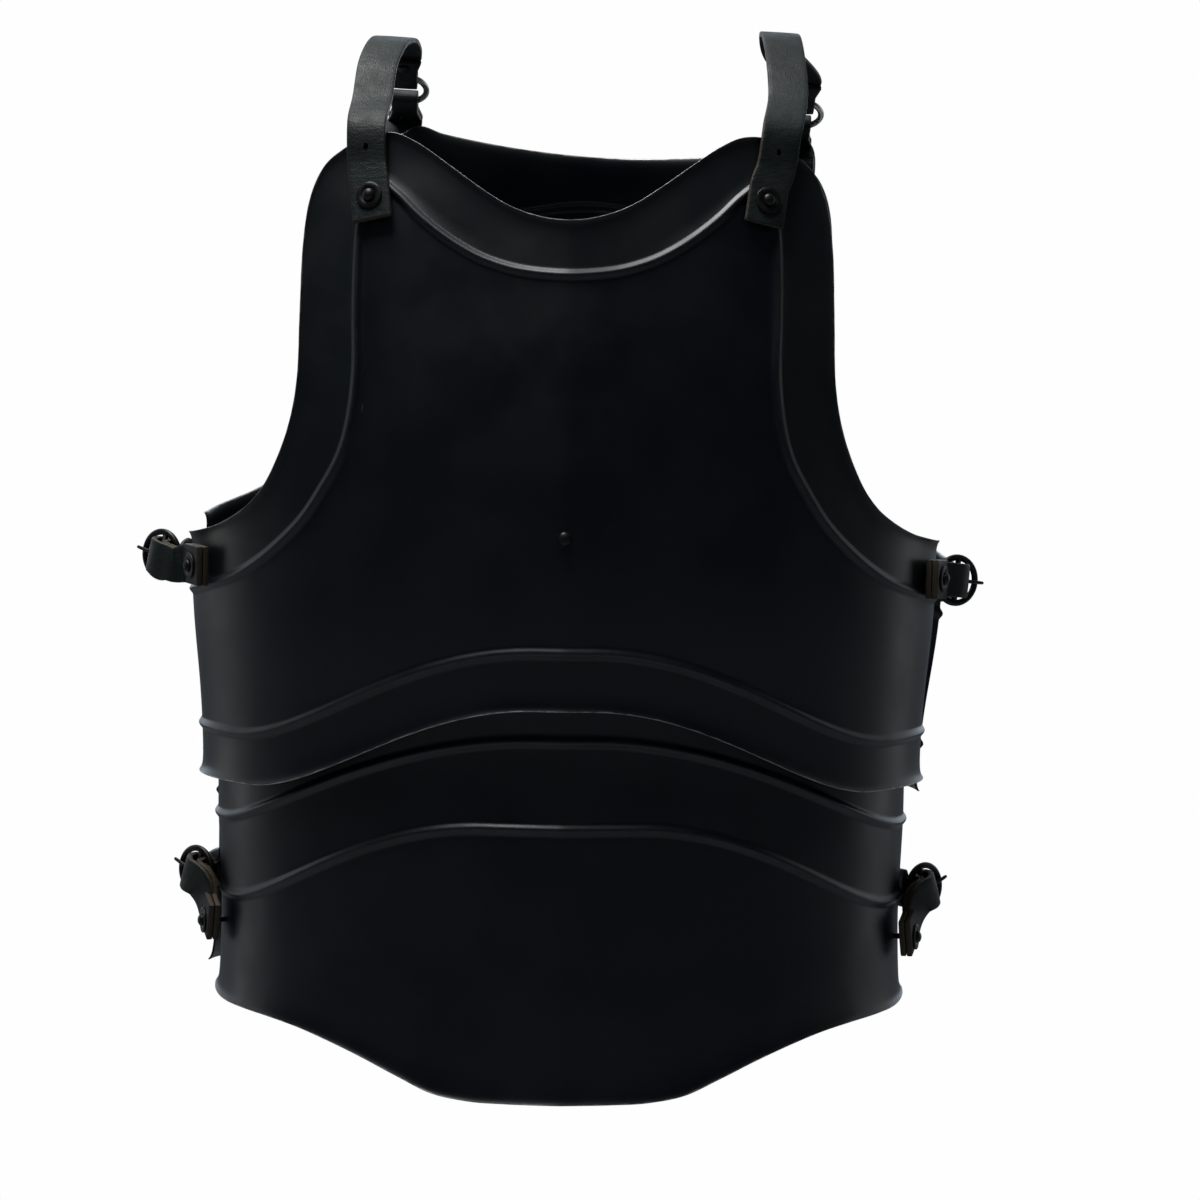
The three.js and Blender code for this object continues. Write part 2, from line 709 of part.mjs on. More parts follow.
// The side tab's way round the bar, as places along its frame's X and Z: in along the outer
// layer, round the bar and back along the inner layer, with room below for the back strap
const layerStep = tabThickness + seatGap;
const strapTop = rimTop + backStrapThickness + 2 * seatGap;
const foldRadius = barRadius + seatGap + tabThickness / 2;
const innerLayer = strapTop + tabThickness / 2;
const outerLayer = innerLayer + layerStep;
const overRim = ringRadius + 5;
const tabFold = [
  [overRim, outerLayer],
  [ringMiddle, outerLayer],
  [foldRadius * 0.8, outerLayer - 0.4],
  [-foldRadius * 0.6, outerLayer - 3.6],
  [-foldRadius - 0.1, 0.6],
  [-foldRadius * 0.72, -foldRadius * 0.76],
  [foldRadius * 0.05, -foldRadius - 0.05],
  [foldRadius * 0.76, -foldRadius * 0.72],
  [foldRadius + 0.05, 0.9],
  [foldRadius + 1.3, innerLayer - 1.2],
  [foldRadius * 2.6, innerLayer],
  [ringMiddle, innerLayer],
  [overRim, innerLayer],
];

// The slot in the side tab's fold that the tongue's eye and pin pass through
function slotTool(frame) {
  const reach = foldRadius + tabThickness / 2 + seatGap;
  const top = rimTop + 2 * tongueWire + seatGap;
  const slot = new THREE.BoxGeometry(2 * reach, 2 * (tongueWire + seatGap), reach + top);
  slot.translate(0, 0, (top - reach) / 2);
  return solidOf(slot.applyMatrix4(frame));
}

// The back strap's hook: up through the ring beside the bar, over the rim and on under the tab
const hookMiddle = foldRadius + (tabThickness + backStrapThickness) / 2 + seatGap;
const strapHook = [
  [hookMiddle - 0.2, -3.2 * backStrapThickness],
  [hookMiddle, -1.2 * backStrapThickness],
  [hookMiddle + 0.1, 0.9],
  [hookMiddle + 2.1, hookTop],
  [ringMiddle, hookTop],
];

// The back strap's way past the plates' sides: how far behind their gap, and its share of the way
// from the ring's height to its rivet's
const sidePasses = table(["behind", "share"], [
  [28, 0.6],
  [14, 0.4],
  [-7, 0.15],
]);

// Side buckles: ring, tongue, tab on the front plate and strap from the backplate
for (const row of sides) {
  const { name, mirror, frontPlace, backPlace } = row;
  const yaw = radians(row.yaw);
  const dip = radians(row.dip);
  const centre = frontPlace.point.clone().add(vector(mirror * row.out, row.behind, row.rise));
  const level = Math.cos(dip);
  const toTab = vector(-mirror * Math.cos(yaw) * level, -Math.sin(yaw) * level, -Math.sin(dip));
  const frame = ringFrame(centre, toTab, vector(mirror * Math.sin(yaw), -Math.cos(yaw), 0));
  const barWay = wayIn(frame, 0, 1, 0);
  const ring = placed(`${name}_ring`, ringGeometry(true), blackIron);
  ring.applyMatrix4(frame);
  armour.add(ring);
  armour.add(placed(`${name}_tongue`, wireGeometry(frame, tongueLine, tongueWire), blackIron));

  const lift = liftOver(frontPlace, tabWidth / 2 + flatMargin, tabThickness) + row.over;
  const ahead = frontPlace.round.clone().multiplyScalar(-mirror);
  const upWay = frontPlace.up.clone().multiplyScalar(-mirror);
  const toRing = centre.clone().sub(frontPlace.point).projectOnPlane(frontPlace.normal).normalize();
  const bendWay = toRing.clone().cross(frontPlace.normal).lerp(upWay, bendShare).normalize();
  const layer = (height) => [
    flatMark(shifted(frontPlace, ahead, tabEndReach, height), upWay, tabWidth, frontPlace.normal),
    flatMark(shifted(frontPlace, toRing, flatReach, height), bendWay, tabWidth, frontPlace.normal),
  ];
  const fold = tabFold.filter(([u]) => u <= row.foldReach).map(([u, n]) =>
    mark(inFrame(frame, u, n), barWay, foldWidth));
  const tab = stripGeometry(
    stationsThrough([...layer(lift + layerStep), ...fold, ...layer(lift).reverse()]),
    tabThickness,
  );
  const tabTop = lift + layerStep + tabThickness / 2 + seatGap;
  armour.add(placed(`${name}_tab`, cut(tab, [holeIn(frontPlace, holeReach), slotTool(frame)]), darkLeather));
  addWasher(`${name}_tab_washer`, frontPlace, tabTop);
  addRivet(`${name}_tab_rivet`, frontPlace, tabTop + washerThickness + seatGap);

  const backLift = liftOver(backPlace, strapWidth / 2 + flatMargin, backStrapThickness);
  const backUp = backPlace.up.clone().multiplyScalar(-mirror);
  const inward = backPlace.round.clone().multiplyScalar(mirror);
  const sideWay = vector(mirror, 0, 0);
  const upright = vector(0, 0, -mirror);
  const pass = (y, share) => {
    const point = vector(0, y, mix(centre.z, backPlace.point.z, share));
    const clear = clearOfSides(point, mirror, strapWidth / 2, backStrapThickness);
    return flatMark(clear, upright, strapWidth, sideWay);
  };
  const tailPoint = inFrame(frame, row.tail, row.tailTop).addScaledVector(barWay, -mirror * row.tailRise);
  const backMarks = [
    flatMark(shifted(backPlace, inward, tabEndReach, backLift), backUp, strapWidth, backPlace.normal),
    flatMark(shifted(backPlace, inward, -flatReach, backLift), backUp, strapWidth, backPlace.normal),
    ...sidePasses.map(({ behind, share }) => pass(behind, share)),
    ...strapHook.map(([u, n]) => mark(inFrame(frame, u, n), barWay, hookWidth)),
    mark(tailPoint, barWay, row.tailWidth),
  ];
  const strap = stripGeometry(stationsThrough(backMarks), backStrapThickness);
  armour.add(placed(`${name}_back_strap`, cut(strap, [holeIn(backPlace, holeReach)]), darkLeather));
  addRivet(`${name}_back_strap_rivet`, backPlace, backLift + backStrapThickness / 2 + seatGap);
}

// Shoulder rings, hung with the backplate: how far out, behind and up, and the tilt of their plane
const shoulderRing = { out: 110, behind: 70, height: -25, tilt: 30 };

// The way of doubled leather round a shoulder ring's rim, as places along and over its plane from
// the closing rivet through the ring and back
const closingReach = ringRadius + 9.7;
const loopFlat = ringRadius + 3;
const loopEndWidth = 19.3;
function rimLoop(thickness) {
  const over = ringWire + seatGap + thickness / 2;
  const half = (thickness + seatGap) / 2;
  const rim = Math.sqrt(ringMiddle ** 2 - (hookWidth / 2) ** 2) - 0.6;
  const out = [
    [closingReach + rivetHead + 1.5, half],
    [closingReach - rivetHead - 1, half],
    [ringRadius + 2.2, (half + over) / 2],
    [ringMiddle, over],
    [rim, over],
    [rim - 0.75 * over, 0.72 * over],
  ];
  const home = out.map(([u, n]) => [u, -n]).reverse();
  return [...out, [rim - 1.05 * over, 0], ...home];
}

// The free run of each shoulder strap over the top: how far from the centre line, behind and up
const strapRuns = {
  left: table(["across", "behind", "height"], [
    [101.5, -66, -38],
    [100, -45, -18],
    [96, -22, -4.5],
    [92.3, 0, -0.8],
    [91, 26, -2.4],
  ]),
  right: table(["across", "behind", "height"], [
    [115.5, -66, -35],
    [118, -45, -14],
    [118.5, -22, 0.5],
    [117.7, 0, 3.8],
    [121, 26, -3.4],
  ]),
};
// The strap's middle where it lies on the plate above its rivet
const strapLays = {
  left: table(["turn", "down"], [[31, 3.6], [31.3, -0.6]]),
  right: table(["turn", "down"], [[31.8, 3.6], [33, -0.6]]),
};

for (const [index, label] of ["left", "right"].entries()) {
  const mirror = index === 0 ? -1 : 1;
  const tilt = radians(shoulderRing.tilt);
  const centre = vector(mirror * shoulderRing.out, shoulderRing.behind, shoulderRing.height);
  const toTab = vector(0, Math.cos(tilt), -Math.sin(tilt));
  const overRing = vector(0, Math.sin(tilt), Math.cos(tilt));
  const frame = ringFrame(centre, toTab, overRing).premultiply(back.matrix);
  const ringWay = wayIn(frame, 0, -1, 0);
  const ring = placed(`${label}_shoulder_ring`, ringGeometry(false), nickel);
  ring.applyMatrix4(frame);
  armour.add(ring);

  // Doubled leather from the ring down onto the backplate
  const tabPlace = tabPlaces[index];
  const tabLift = liftOver(tabPlace, tabWidth / 2, tabThickness);
  const tabWay = tabPlace.round.clone().negate();
  const brow = placeOn(plates.back_upper, tabPlace.turn, tabBrowDown);
  const browLift = liftOver(brow, tabWidth / 2, tabThickness);
  const tabLayer = (step) => [
    ...[-tabEndReach, flatReach].map((reach) =>
      flatMark(shifted(tabPlace, tabPlace.up, reach, tabLift + step), tabWay, tabWidth, tabPlace.normal)),
    mark(shifted(brow, brow.up, 0, browLift + step), tabWay, tabWidth),
  ];
  const outWay = wayIn(frame, 0, 0, 1);
  const rimMarks = (thickness, way) => rimLoop(thickness).map(([u, n]) => {
    const point = inFrame(frame, way * u, n);
    const width = u > closingReach ? loopEndWidth : hookWidth;
    return u > loopFlat ? flatMark(point, ringWay, width, outWay) : mark(point, ringWay, width);
  });
  const tab = stripGeometry(
    stationsThrough([...tabLayer(layerStep), ...rimMarks(tabThickness, 1), ...tabLayer(0).reverse()]),
    tabThickness,
  );
  const tabClosing = { point: inFrame(frame, closingReach, 0), normal: outWay };
  const tabHoles = [holeIn(tabPlace, holeReach), holeIn(tabClosing, closingHole)];
  armour.add(placed(`${label}_shoulder_tab`, cut(tab, tabHoles), darkLeather));
  addRivet(`${label}_shoulder_tab_rivet`, tabPlace, tabLift + layerStep + tabThickness / 2 + seatGap);
  addClosing(`${label}_closing_rivet`, tabClosing, tabThickness);

  // The strap: on the plate, over the top and folded round the ring
  const strapPlace = strapPlaces[index];
  const strapLift = liftOver(strapPlace, strapEndReach, strapThickness);
  const lays = strapLays[label].map(({ turn, down }) => placeOn(plates.front_upper, mirror * turn, down));
  const { up, round, normal } = strapPlace;
  const strapMarks = [
    ...[-strapEndReach, flatReach].map((reach) =>
      flatMark(shifted(strapPlace, up, reach, strapLift), round, strapWidth, normal)),
    ...lays.map((lay) =>
      mark(shifted(lay, lay.up, 0, liftOver(lay, strapWidth / 2, strapThickness)), lay.round, strapWidth)),
    ...strapRuns[label].map(({ across, behind, height }) =>
      mark(vector(mirror * across, behind, height), ringWay, strapWidth)),
    ...rimMarks(strapThickness, -1),
  ];
  const strap = stripGeometry(stationsThrough(strapMarks), strapThickness);
  const strapClosing = { point: inFrame(frame, -closingReach, 0), normal: outWay };
  const strapHoles = [holeIn(strapPlace, holeReach), holeIn(strapClosing, closingHole)];
  const strapTopLift = strapLift + strapThickness / 2 + seatGap;
  armour.add(placed(`${label}_shoulder_strap`, cut(strap, strapHoles), darkLeather));
  addWasher(`${label}_shoulder_strap_washer`, strapPlace, strapTopLift);
  addRivet(`${label}_shoulder_strap_rivet`, strapPlace, strapTopLift + washerThickness + seatGap);
  addClosing(`${label}_fold_rivet`, strapClosing, strapThickness);
}

// A rivet through two layers of leather that lie against each other
function addClosing(name, place, thickness) {
  const reach = thickness + 1.5 * seatGap;
  const foot = place.point.clone().addScaledVector(place.normal, -reach);
  armour.add(placed(name, rivetGeometry(2 * reach, rivetHead), blackIron, foot, place.normal));
}

export default armour;
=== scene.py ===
# %% [markdown]
# # Dressing a blackened steel cuirass
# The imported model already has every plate, strap, ring and rivet in its true place. This lesson
# gives each of them its finished surface: plates that swell smoothly and roll at their edges,
# leather that folds, and iron and steel that catch the light.

# %% Load the fixed frame
import math
import bmesh
import bpy
import numpy as np
from mathutils import Matrix, Quaternion, Vector, kdtree, noise
from mathutils.bvhtree import BVHTree


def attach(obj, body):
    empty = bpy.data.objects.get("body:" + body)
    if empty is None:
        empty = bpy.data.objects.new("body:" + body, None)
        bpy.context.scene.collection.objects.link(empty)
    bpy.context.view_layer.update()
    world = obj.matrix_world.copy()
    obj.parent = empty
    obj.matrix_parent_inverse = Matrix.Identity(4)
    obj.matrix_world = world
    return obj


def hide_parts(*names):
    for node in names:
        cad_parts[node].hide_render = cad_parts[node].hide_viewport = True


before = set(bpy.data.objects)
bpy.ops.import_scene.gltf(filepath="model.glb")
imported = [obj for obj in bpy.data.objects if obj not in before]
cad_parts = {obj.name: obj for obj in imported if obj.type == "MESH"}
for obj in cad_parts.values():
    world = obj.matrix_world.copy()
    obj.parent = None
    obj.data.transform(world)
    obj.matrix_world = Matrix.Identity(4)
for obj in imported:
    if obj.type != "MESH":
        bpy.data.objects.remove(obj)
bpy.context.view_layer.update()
MM = 0.001
print("nodes in the frame:", len(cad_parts))

# %% [markdown]
# ## The camera
# The photograph looks at the chest from under two metres away, almost level: the aim points a
# little down and a little to the right, and the picture is turned by less than a degree. A long
# lens keeps the plates' proportions. The aim is a direction vector, turned into a rotation.

# %% Place the camera
camera_data = bpy.data.cameras.new("camera")
camera = bpy.data.objects.new("camera", camera_data)
bpy.context.scene.collection.objects.link(camera)
camera_data.sensor_width = 36
camera_data.lens = 94.9
camera_data.shift_y = -0.05
camera_data.dof.use_dof = False
camera.location = (0, -1.7, -0.191)
camera_aim = Vector((0.0112, 1, -0.04447))
camera_roll = math.radians(0.75)
camera.rotation_mode = "QUATERNION"
camera.rotation_quaternion = camera_aim.to_track_quat("-Z", "Y") @ Quaternion((0, 0, 1), camera_roll)
bpy.context.scene.camera = camera
print("camera stands at", tuple(camera.location))

# %% [markdown]
# ## The body line
# An armourer raises a plate over a body line: how wide and how deep the chest is at each height.
# The same short tables that shaped the solids give the smooth surface here, read through a cubic
# curve. Down is in hundredths of the armour's height below the shoulders, across in hundredths of
# the half width, and turn in degrees round the body from the centre line.

# %% Write down the sizes of the steel
chest_half_width = 199 * MM
front_depth = 134 * MM
back_depth = 122 * MM
armour_height = 486 * MM
shoulder_drop = 57 * MM
side_gap = 8 * MM
plate_wall = 1.2 * MM
lame_space = 7 * MM
lap_rest = 0.9 * MM
bead_height = 1.8 * MM
bead_half_width = 3.6 * MM
bead_foot = 5 * MM
lip_height = 2.2 * MM
lip_fade = 2.4 * MM
keel_rise = 2.5 * MM
keel_half_width = 55 * MM
keel_softness = 1.5 * MM
rim_bevel = 0.3 * MM
rim_angle = math.radians(60)
rivet_down = 41.8
rivet_land = 0.6
roll_pivot_down = 68.5
FRONT = -1
BACK = 1
TINY = 1e-9
print(f"the armour is {armour_height / MM:.0f} mm high and {2 * chest_half_width / MM:.0f} mm wide")


# %% Read a table through a smooth curve
def smooth(xs, ys, at):
    xs, ys, at = (np.asarray(values, float) for values in (xs, ys, at))
    before = np.maximum(np.arange(len(xs)) - 1, 0)
    after = np.minimum(np.arange(len(xs)) + 1, len(xs) - 1)
    slopes = (ys[after] - ys[before]) / (xs[after] - xs[before])
    low = np.clip(np.searchsorted(xs, at, side="right") - 1, 0, len(xs) - 2)
    span = xs[low + 1] - xs[low]
    t = np.clip((at - xs[low]) / span, 0, 1)
    eased = ys[low] + (ys[low + 1] - ys[low]) * t * t * (3 - 2 * t)
    return eased + span * (t * (1 - t) ** 2 * slopes[low] + t * t * (t - 1) * slopes[low + 1])


body_line = np.array([
    # down, width, front, back
    (-4, 0.98, 0.69, 0.73),
    (0, 0.985, 0.71, 0.76),
    (9, 0.99, 0.81, 0.86),
    (27, 0.995, 0.945, 0.985),
    (42, 1, 1, 1),
    (50, 0.997, 1, 0.985),
    (60, 0.975, 0.973, 0.95),
    (66, 0.967, 0.963, 0.93),
    (73, 0.965, 0.974, 0.925),
    (85, 0.955, 0.993, 0.945),
    (100, 0.97, 1.037, 0.99),
]).T


def width_at(down):
    return chest_half_width * smooth(body_line[0], body_line[1], down)


def height_at(down):
    return -shoulder_drop - np.asarray(down) * armour_height / 100


def turn_at(across, down):
    share = np.asarray(across) * chest_half_width / 100 / width_at(down)
    return np.degrees(np.arcsin(np.clip(share, -1, 1)))


def body_point(side, turn, down, inset):
    angle = np.radians(turn)
    depth = front_depth if side == FRONT else back_depth
    reach = depth * smooth(body_line[0], body_line[2 if side == FRONT else 3], down) - inset
    x = (width_at(down) - inset) * np.sin(angle)
    keel_share = np.maximum(0, 1 - np.hypot(x, keel_softness) / keel_half_width)
    y = side * (side_gap / 2 + reach * np.cos(angle) + keel_rise * keel_share ** 2)
    return np.stack(np.broadcast_arrays(x, y, height_at(down)), axis=-1)


def no_inset(down):
    return 0 * np.asarray(down)


def lap_inset(down):
    """How far the lower lame lies inside the upper one, from the rivet down to the overlap."""
    share = np.clip((down - rivet_down - rivet_land) / (low_edge["down"] - rivet_down), 0, 1)
    return plate_wall + lap_rest + (lame_space - lap_rest) * share


def outward(side, turn, down, inset):
    """The unit normal of the body line, from small steps round it and down it."""
    step = 0.2
    turned = [body_point(side, turn + s, down, inset(down)) for s in (step, -step)]
    lowered = [body_point(side, turn, down + s, inset(down + s)) for s in (step, -step)]
    normal = side * np.cross(turned[0] - turned[1], lowered[0] - lowered[1])
    return normal / np.linalg.norm(normal, axis=-1, keepdims=True)


print("half width at the narrowest part, in metres:", round(float(width_at(73)), 4))

# %% [markdown]
# ## The lines on the plates
# Each plate is cut along an edge and embossed along beads. The upper plate's edge is the neck, the
# shoulder and the armhole in one line, and its first bead follows it. The beads and lower edges
# cross the body in an arch, level at the centre and again at the sides. A table of ribs holds the
# half from the centre to the side, and mirroring it gives the whole line with no kink at the centre.

# %% Give the ribs and the arches
upper_ribs = np.array([
    # edge across, edge down, bead across, bead down, turn
    (0, 9.3, 0, 14.9, 0),
    (8.5, 8.8, 8, 14.7, 3.6),
    (16, 7.6, 15, 14.2, 7.2),
    (23.6, 5.6, 22.6, 13.1, 10.8),
    (31.2, 3.3, 30.2, 11.3, 14.3),
    (38.2, 1.3, 37.4, 9, 17.6),
    (44.2, 0.2, 43.7, 6.5, 20.6),
    (50.8, 0.3, 48.7, 5.2, 23.2),
    (56.8, 1.7, 51.5, 7, 24.6),
    (62.3, 3.7, 52.8, 9.7, 26.4),
    (65.8, 7.2, 53.3, 13.8, 28),
    (67.3, 12.3, 53.3, 19.1, 29.4),
    (67.7, 19.1, 53, 24.9, 31),
    (68.1, 25.9, 54.3, 30, 34),
    (70.4, 31.1, 56.8, 33.7, 38.5),
    (74.9, 35.8, 61.1, 37, 43),
    (79.4, 38.5, 66.8, 40.5, 48.5),
    (84.4, 40.2, 74.9, 43.8, 55),
    (89.7, 41.4, 83.4, 46.3, 62.5),
    (94.2, 42, 91, 47.6, 70.5),
    (98, 42.4, 97, 48.4, 80),
    (100, 42.6, 100, 48.9, 90),
])
lower_ribs = np.array([
    # turn, hidden top's down, hem's down
    (0, 38.9, 100),
    (8, 39.5, 100),
    (14, 41.4, 99.9),
    (20, 44.3, 99.3),
    (26, 47.6, 97.8),
    (33, 50.8, 96.1),
    (40, 53.7, 94.8),
    (47, 55.8, 93.9),
    (55, 57.6, 93.4),
    (64, 59, 93.2),
    (73, 60.1, 93.1),
    (82, 60.7, 92.8),
    (90, 60.9, 92.4),
])
low_bead = {"down": 53.5, "fall": 10, "start": 4, "end": 60}
low_edge = {"down": 59.5, "fall": 9.3, "start": 4, "end": 56}
first_bead = {"down": 62.8, "fall": 10.5, "start": 4, "end": 78}
second_bead = {"down": 71.9, "fall": 9.6, "start": 12, "end": 72}
print("ribs in the tables:", len(upper_ribs), "and", len(lower_ribs))


# %% Draw the lines from the tables
def arch(line, turn):
    share = np.clip((np.abs(turn) - line["start"]) / (line["end"] - line["start"]), 0, 1)
    return line["down"] + line["fall"] * (1 - np.cos(math.pi * share)) / 2


def across_ribs(column, places, odd):
    """A rib table's column over the whole plate: odd for what changes sign at the centre line."""
    whole = np.concatenate([(-column if odd else column)[:0:-1], column])
    return smooth(np.arange(len(whole)), whole, places)


def beside_line(side, turn, down, distance):
    """A line at a real distance from another one, square to it, on the plate's inner side."""
    point = body_point(side, turn, down, 0)
    per_turn = np.linalg.norm(body_point(side, turn + 1, down, 0) - point, axis=-1)
    per_down = np.linalg.norm(body_point(side, turn, down + 1, 0) - point, axis=-1)
    round_way = np.gradient(turn) * per_turn
    fall = np.gradient(down) * per_down
    fall[[0, -1]] = 0
    share = distance / np.maximum(np.hypot(round_way, fall), TINY)
    return unfolded(turn - share * fall / per_turn, down + share * round_way / per_down)


def unfolded(turn, down):
    """The same line, drawn straight across the stretches where it would turn back on itself."""
    steps = np.arange(len(turn))
    way = np.sign(turn[-1] - turn[0])
    ahead = np.maximum.accumulate(way * turn)
    behind = np.minimum.accumulate((way * turn)[::-1])[::-1]
    kept = (way * turn >= ahead) & (way * turn <= behind)
    return tuple(np.interp(steps, steps[kept], entry[kept]) for entry in (turn, down))


def upper_lines(side, ribs, share):
    places = share * 2 * (len(ribs) - 1)
    edge_across, bead_across, turn = (across_ribs(ribs[:, k], places, True) for k in (0, 2, 4))
    edge_down, bead_down = (across_ribs(ribs[:, k], places, False) for k in (1, 3))
    bead_turn = turn_at(bead_across, bead_down)
    return [
        (turn_at(edge_across, edge_down), edge_down),
        (bead_turn, bead_down),
        beside_line(side, bead_turn, bead_down, bead_foot),
        (turn, arch(low_bead, turn)),
        (turn, arch(low_edge, turn)),
    ]


def lower_lines(ribs, share, hem_dip):
    places = share * 2 * (len(ribs) - 1)
    turn = across_ribs(ribs[:, 0], places, True)
    top, hem = (across_ribs(ribs[:, k], places, False) for k in (1, 2))
    level = ribs[-1, 2]
    return [
        (turn, top),
        (turn, arch(first_bead, turn)),
        (turn, arch(second_bead, turn)),
        (turn, level + (hem - level) * hem_dip),
    ]


# %% Change the ribs for the back
back_neck_down = -0.6
back_neck_rise = 1.5
back_shoulder_rise = 4
neck_end_across = 45
back_hem_dip = 0.6
back_ribs = upper_ribs.copy()
neck_edge = back_neck_down - back_neck_rise * (upper_ribs[:, 0] / neck_end_across) ** 2
shoulder_edge = upper_ribs[:, 1] - back_shoulder_rise * (1 - upper_ribs[:, 4] / 90)
back_ribs[:, 1] = np.where(upper_ribs[:, 0] < neck_end_across, neck_edge, shoulder_edge)
back_ribs[:, 3] += back_ribs[:, 1] - upper_ribs[:, 1]
print("the back's edge at the centre lies at", back_ribs[0, 1])

# %% [markdown]
# ## Raising the plates
# A real lame is one sheet, so each is one grid that is laid over the body line: the grid's rows run
# from the top edge to the lower edge, close together beside each bead and lip and wide apart
# between them, so the faces go where the shape bends. A point's distance from the nearest line, by
# a tree of samples, gives its lift, so a bead keeps its width wherever the rows cross it at a slant.

# %% Choose the rows of a plate
plate_faces_across = {"front_upper": 340, "front_lower": 280, "back_upper": 260, "back_lower": 220}
beside_edge = [d * MM for d in (0, 0.4, 0.9, 1.5, 2.2, 3, 4, 5.5)]
beside_bead = [d * MM for d in (0, 0.5, 1.1, 1.7, 2.3, 2.9, 3.6, 4.3)]
dent_waves = ((9, 0.35 * MM), (23, 0.12 * MM))


def rows_between(a, b, from_a, from_b, middle):
    """Rows from line a to line b: the two lines, the lengths kept free beside them, and a share."""
    rows = [(a, b, d, 0, 0) for d in from_a]
    rows += [(a, b, from_a[-1], from_b[-1], (k + 1) / (middle + 1)) for k in range(middle)]
    return rows + [(a, b, 0, d, 1) for d in reversed(from_b)]


upper_rows = rows_between(0, 1, beside_edge, beside_bead[1:], 3)
upper_rows += [(1, 2, d, 0, 0) for d in beside_bead]
upper_rows += rows_between(2, 3, (0,), beside_bead[1:], 18)
upper_rows += rows_between(3, 4, beside_bead, beside_edge, 3)
lower_rows = rows_between(0, 1, beside_edge[:1], beside_bead[1:], 10)
lower_rows += rows_between(1, 2, beside_bead, beside_bead[1:], 4)
lower_rows += rows_between(2, 3, beside_bead, beside_edge, 12)
print("rows of the upper and lower plates:", len(upper_rows), len(lower_rows))


# %% Turn a shape into a piece
def soften(shape, edges, width):
    bmesh.ops.bevel(
        shape, geom=edges, offset=width, offset_type="OFFSET",
        segments=2, profile=0.5, affect="EDGES", material=-1,
    )


def object_from(shape, name):
    """Makes an object at the origin from a bmesh, with its place in its mesh."""
    mesh = bpy.data.meshes.new(name)
    shape.to_mesh(mesh)
    shape.free()
    made = bpy.data.objects.new(name, mesh)
    bpy.context.scene.collection.objects.link(made)
    return made


def piece_from(shape, name):
    for face in shape.faces:
        face.smooth = True
    piece = object_from(shape, name)
    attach(piece, "root")
    return piece


def in_place_of(piece, node):
    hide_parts(node)
    return piece


# %% Lay a grid over the body line
def tree_of(points):
    tree = kdtree.KDTree(len(points))
    for index, point in enumerate(points):
        tree.insert(point, index)
    tree.balance()
    return tree


def line_tree(side, lines, chosen, inset, samples=5000):
    fine = lines(np.linspace(0, 1, samples))
    return tree_of(np.concatenate([body_point(side, *fine[k], inset(fine[k][1])) for k in chosen]))


def rows_on_body(side, lines, rows, columns, inset):
    """The turn and down of every row's points, by real distances along the columns."""
    at = lines(np.linspace(0, 1, columns + 1))
    ends = [body_point(side, *line, inset(line[1])) for line in at]
    grid = []
    for a, b, free_a, free_b, share in rows:
        length = np.linalg.norm(ends[a] - ends[b], axis=-1)
        part = (free_a + share * (length - free_a - free_b)) / length
        grid.append([at[a][k] + (at[b][k] - at[a][k]) * part for k in (0, 1)])
    return np.array(grid).transpose(1, 0, 2)


def dents(point):
    """The slow, shallow unevenness that hammering leaves."""
    return sum(depth * noise.noise(point * pace) for pace, depth in dent_waves)


def raise_plate(name, side, lines, rows, columns, inset, beads, lips, borders, hang):
    turn, down = rows_on_body(side, lines, rows, columns, inset)
    base = body_point(side, turn, down, inset(down))
    normal = outward(side, turn, down, inset)
    bead_tree = line_tree(side, lines, beads, inset)
    lip_tree = line_tree(side, lines, lips, inset)
    plate = bmesh.new()
    bmesh.ops.create_grid(plate, x_segments=columns, y_segments=len(rows) - 1, size=1)
    lip_layer = plate.verts.layers.float.new("lip")
    bead_layer = plate.verts.layers.float.new("bead")
    # border marks the rows between edge and bead, where the steel gets its painted sheen
    border_layer = plate.verts.layers.float.new("border")
    way_in = plate.verts.layers.float_vector.new("way_in")
    for vert in plate.verts:
        column = round((vert.co.x + 1) / 2 * columns)
        row = round((1 - vert.co.y) / 2 * (len(rows) - 1))
        point = Vector(base[row, column])
        to_bead = bead_tree.find(point)[2]
        to_lip = lip_tree.find(point)[2]
        wave = math.cos(min(1, to_bead / bead_half_width) * math.pi / 2) ** 2
        lift = bead_height * wave + lip_height * math.exp(-to_lip / lip_fade) + dents(point)
        vert.co = point + Vector(normal[row, column]) * lift
        vert[lip_layer] = to_lip / MM
        vert[bead_layer] = to_bead / MM
        vert[border_layer] = rows[row][0] == borders[0] or rows[row][1] == borders[1]
        vert[way_in] = -plate_wall * Vector(normal[row, column])
    inside = bmesh.ops.extrude_face_region(plate, geom=plate.faces[:], use_keep_orig=True)["geom"]
    for vert in (part for part in inside if isinstance(part, bmesh.types.BMVert)):
        vert.co += vert[way_in]
    plate.verts.layers.float_vector.remove(way_in)
    bmesh.ops.recalc_face_normals(plate, faces=plate.faces[:])
    soften(plate, [edge for edge in plate.edges if edge.calc_face_angle(0) > rim_angle], rim_bevel)
    bmesh.ops.transform(plate, matrix=hang, verts=plate.verts[:])
    return piece_from(plate, name)


# %% Hang the two halves
back_roll = math.radians(2.8)
roll_pivot = Vector((0, 0, float(height_at(roll_pivot_down))))
to_pivot = Matrix.Translation(roll_pivot)
back_hang = to_pivot @ Matrix.Rotation(back_roll, 4, "Y") @ to_pivot.inverted()
front_hang = Matrix.Identity(4)
print("the back half hangs turned by", round(math.degrees(back_roll), 1), "degrees")

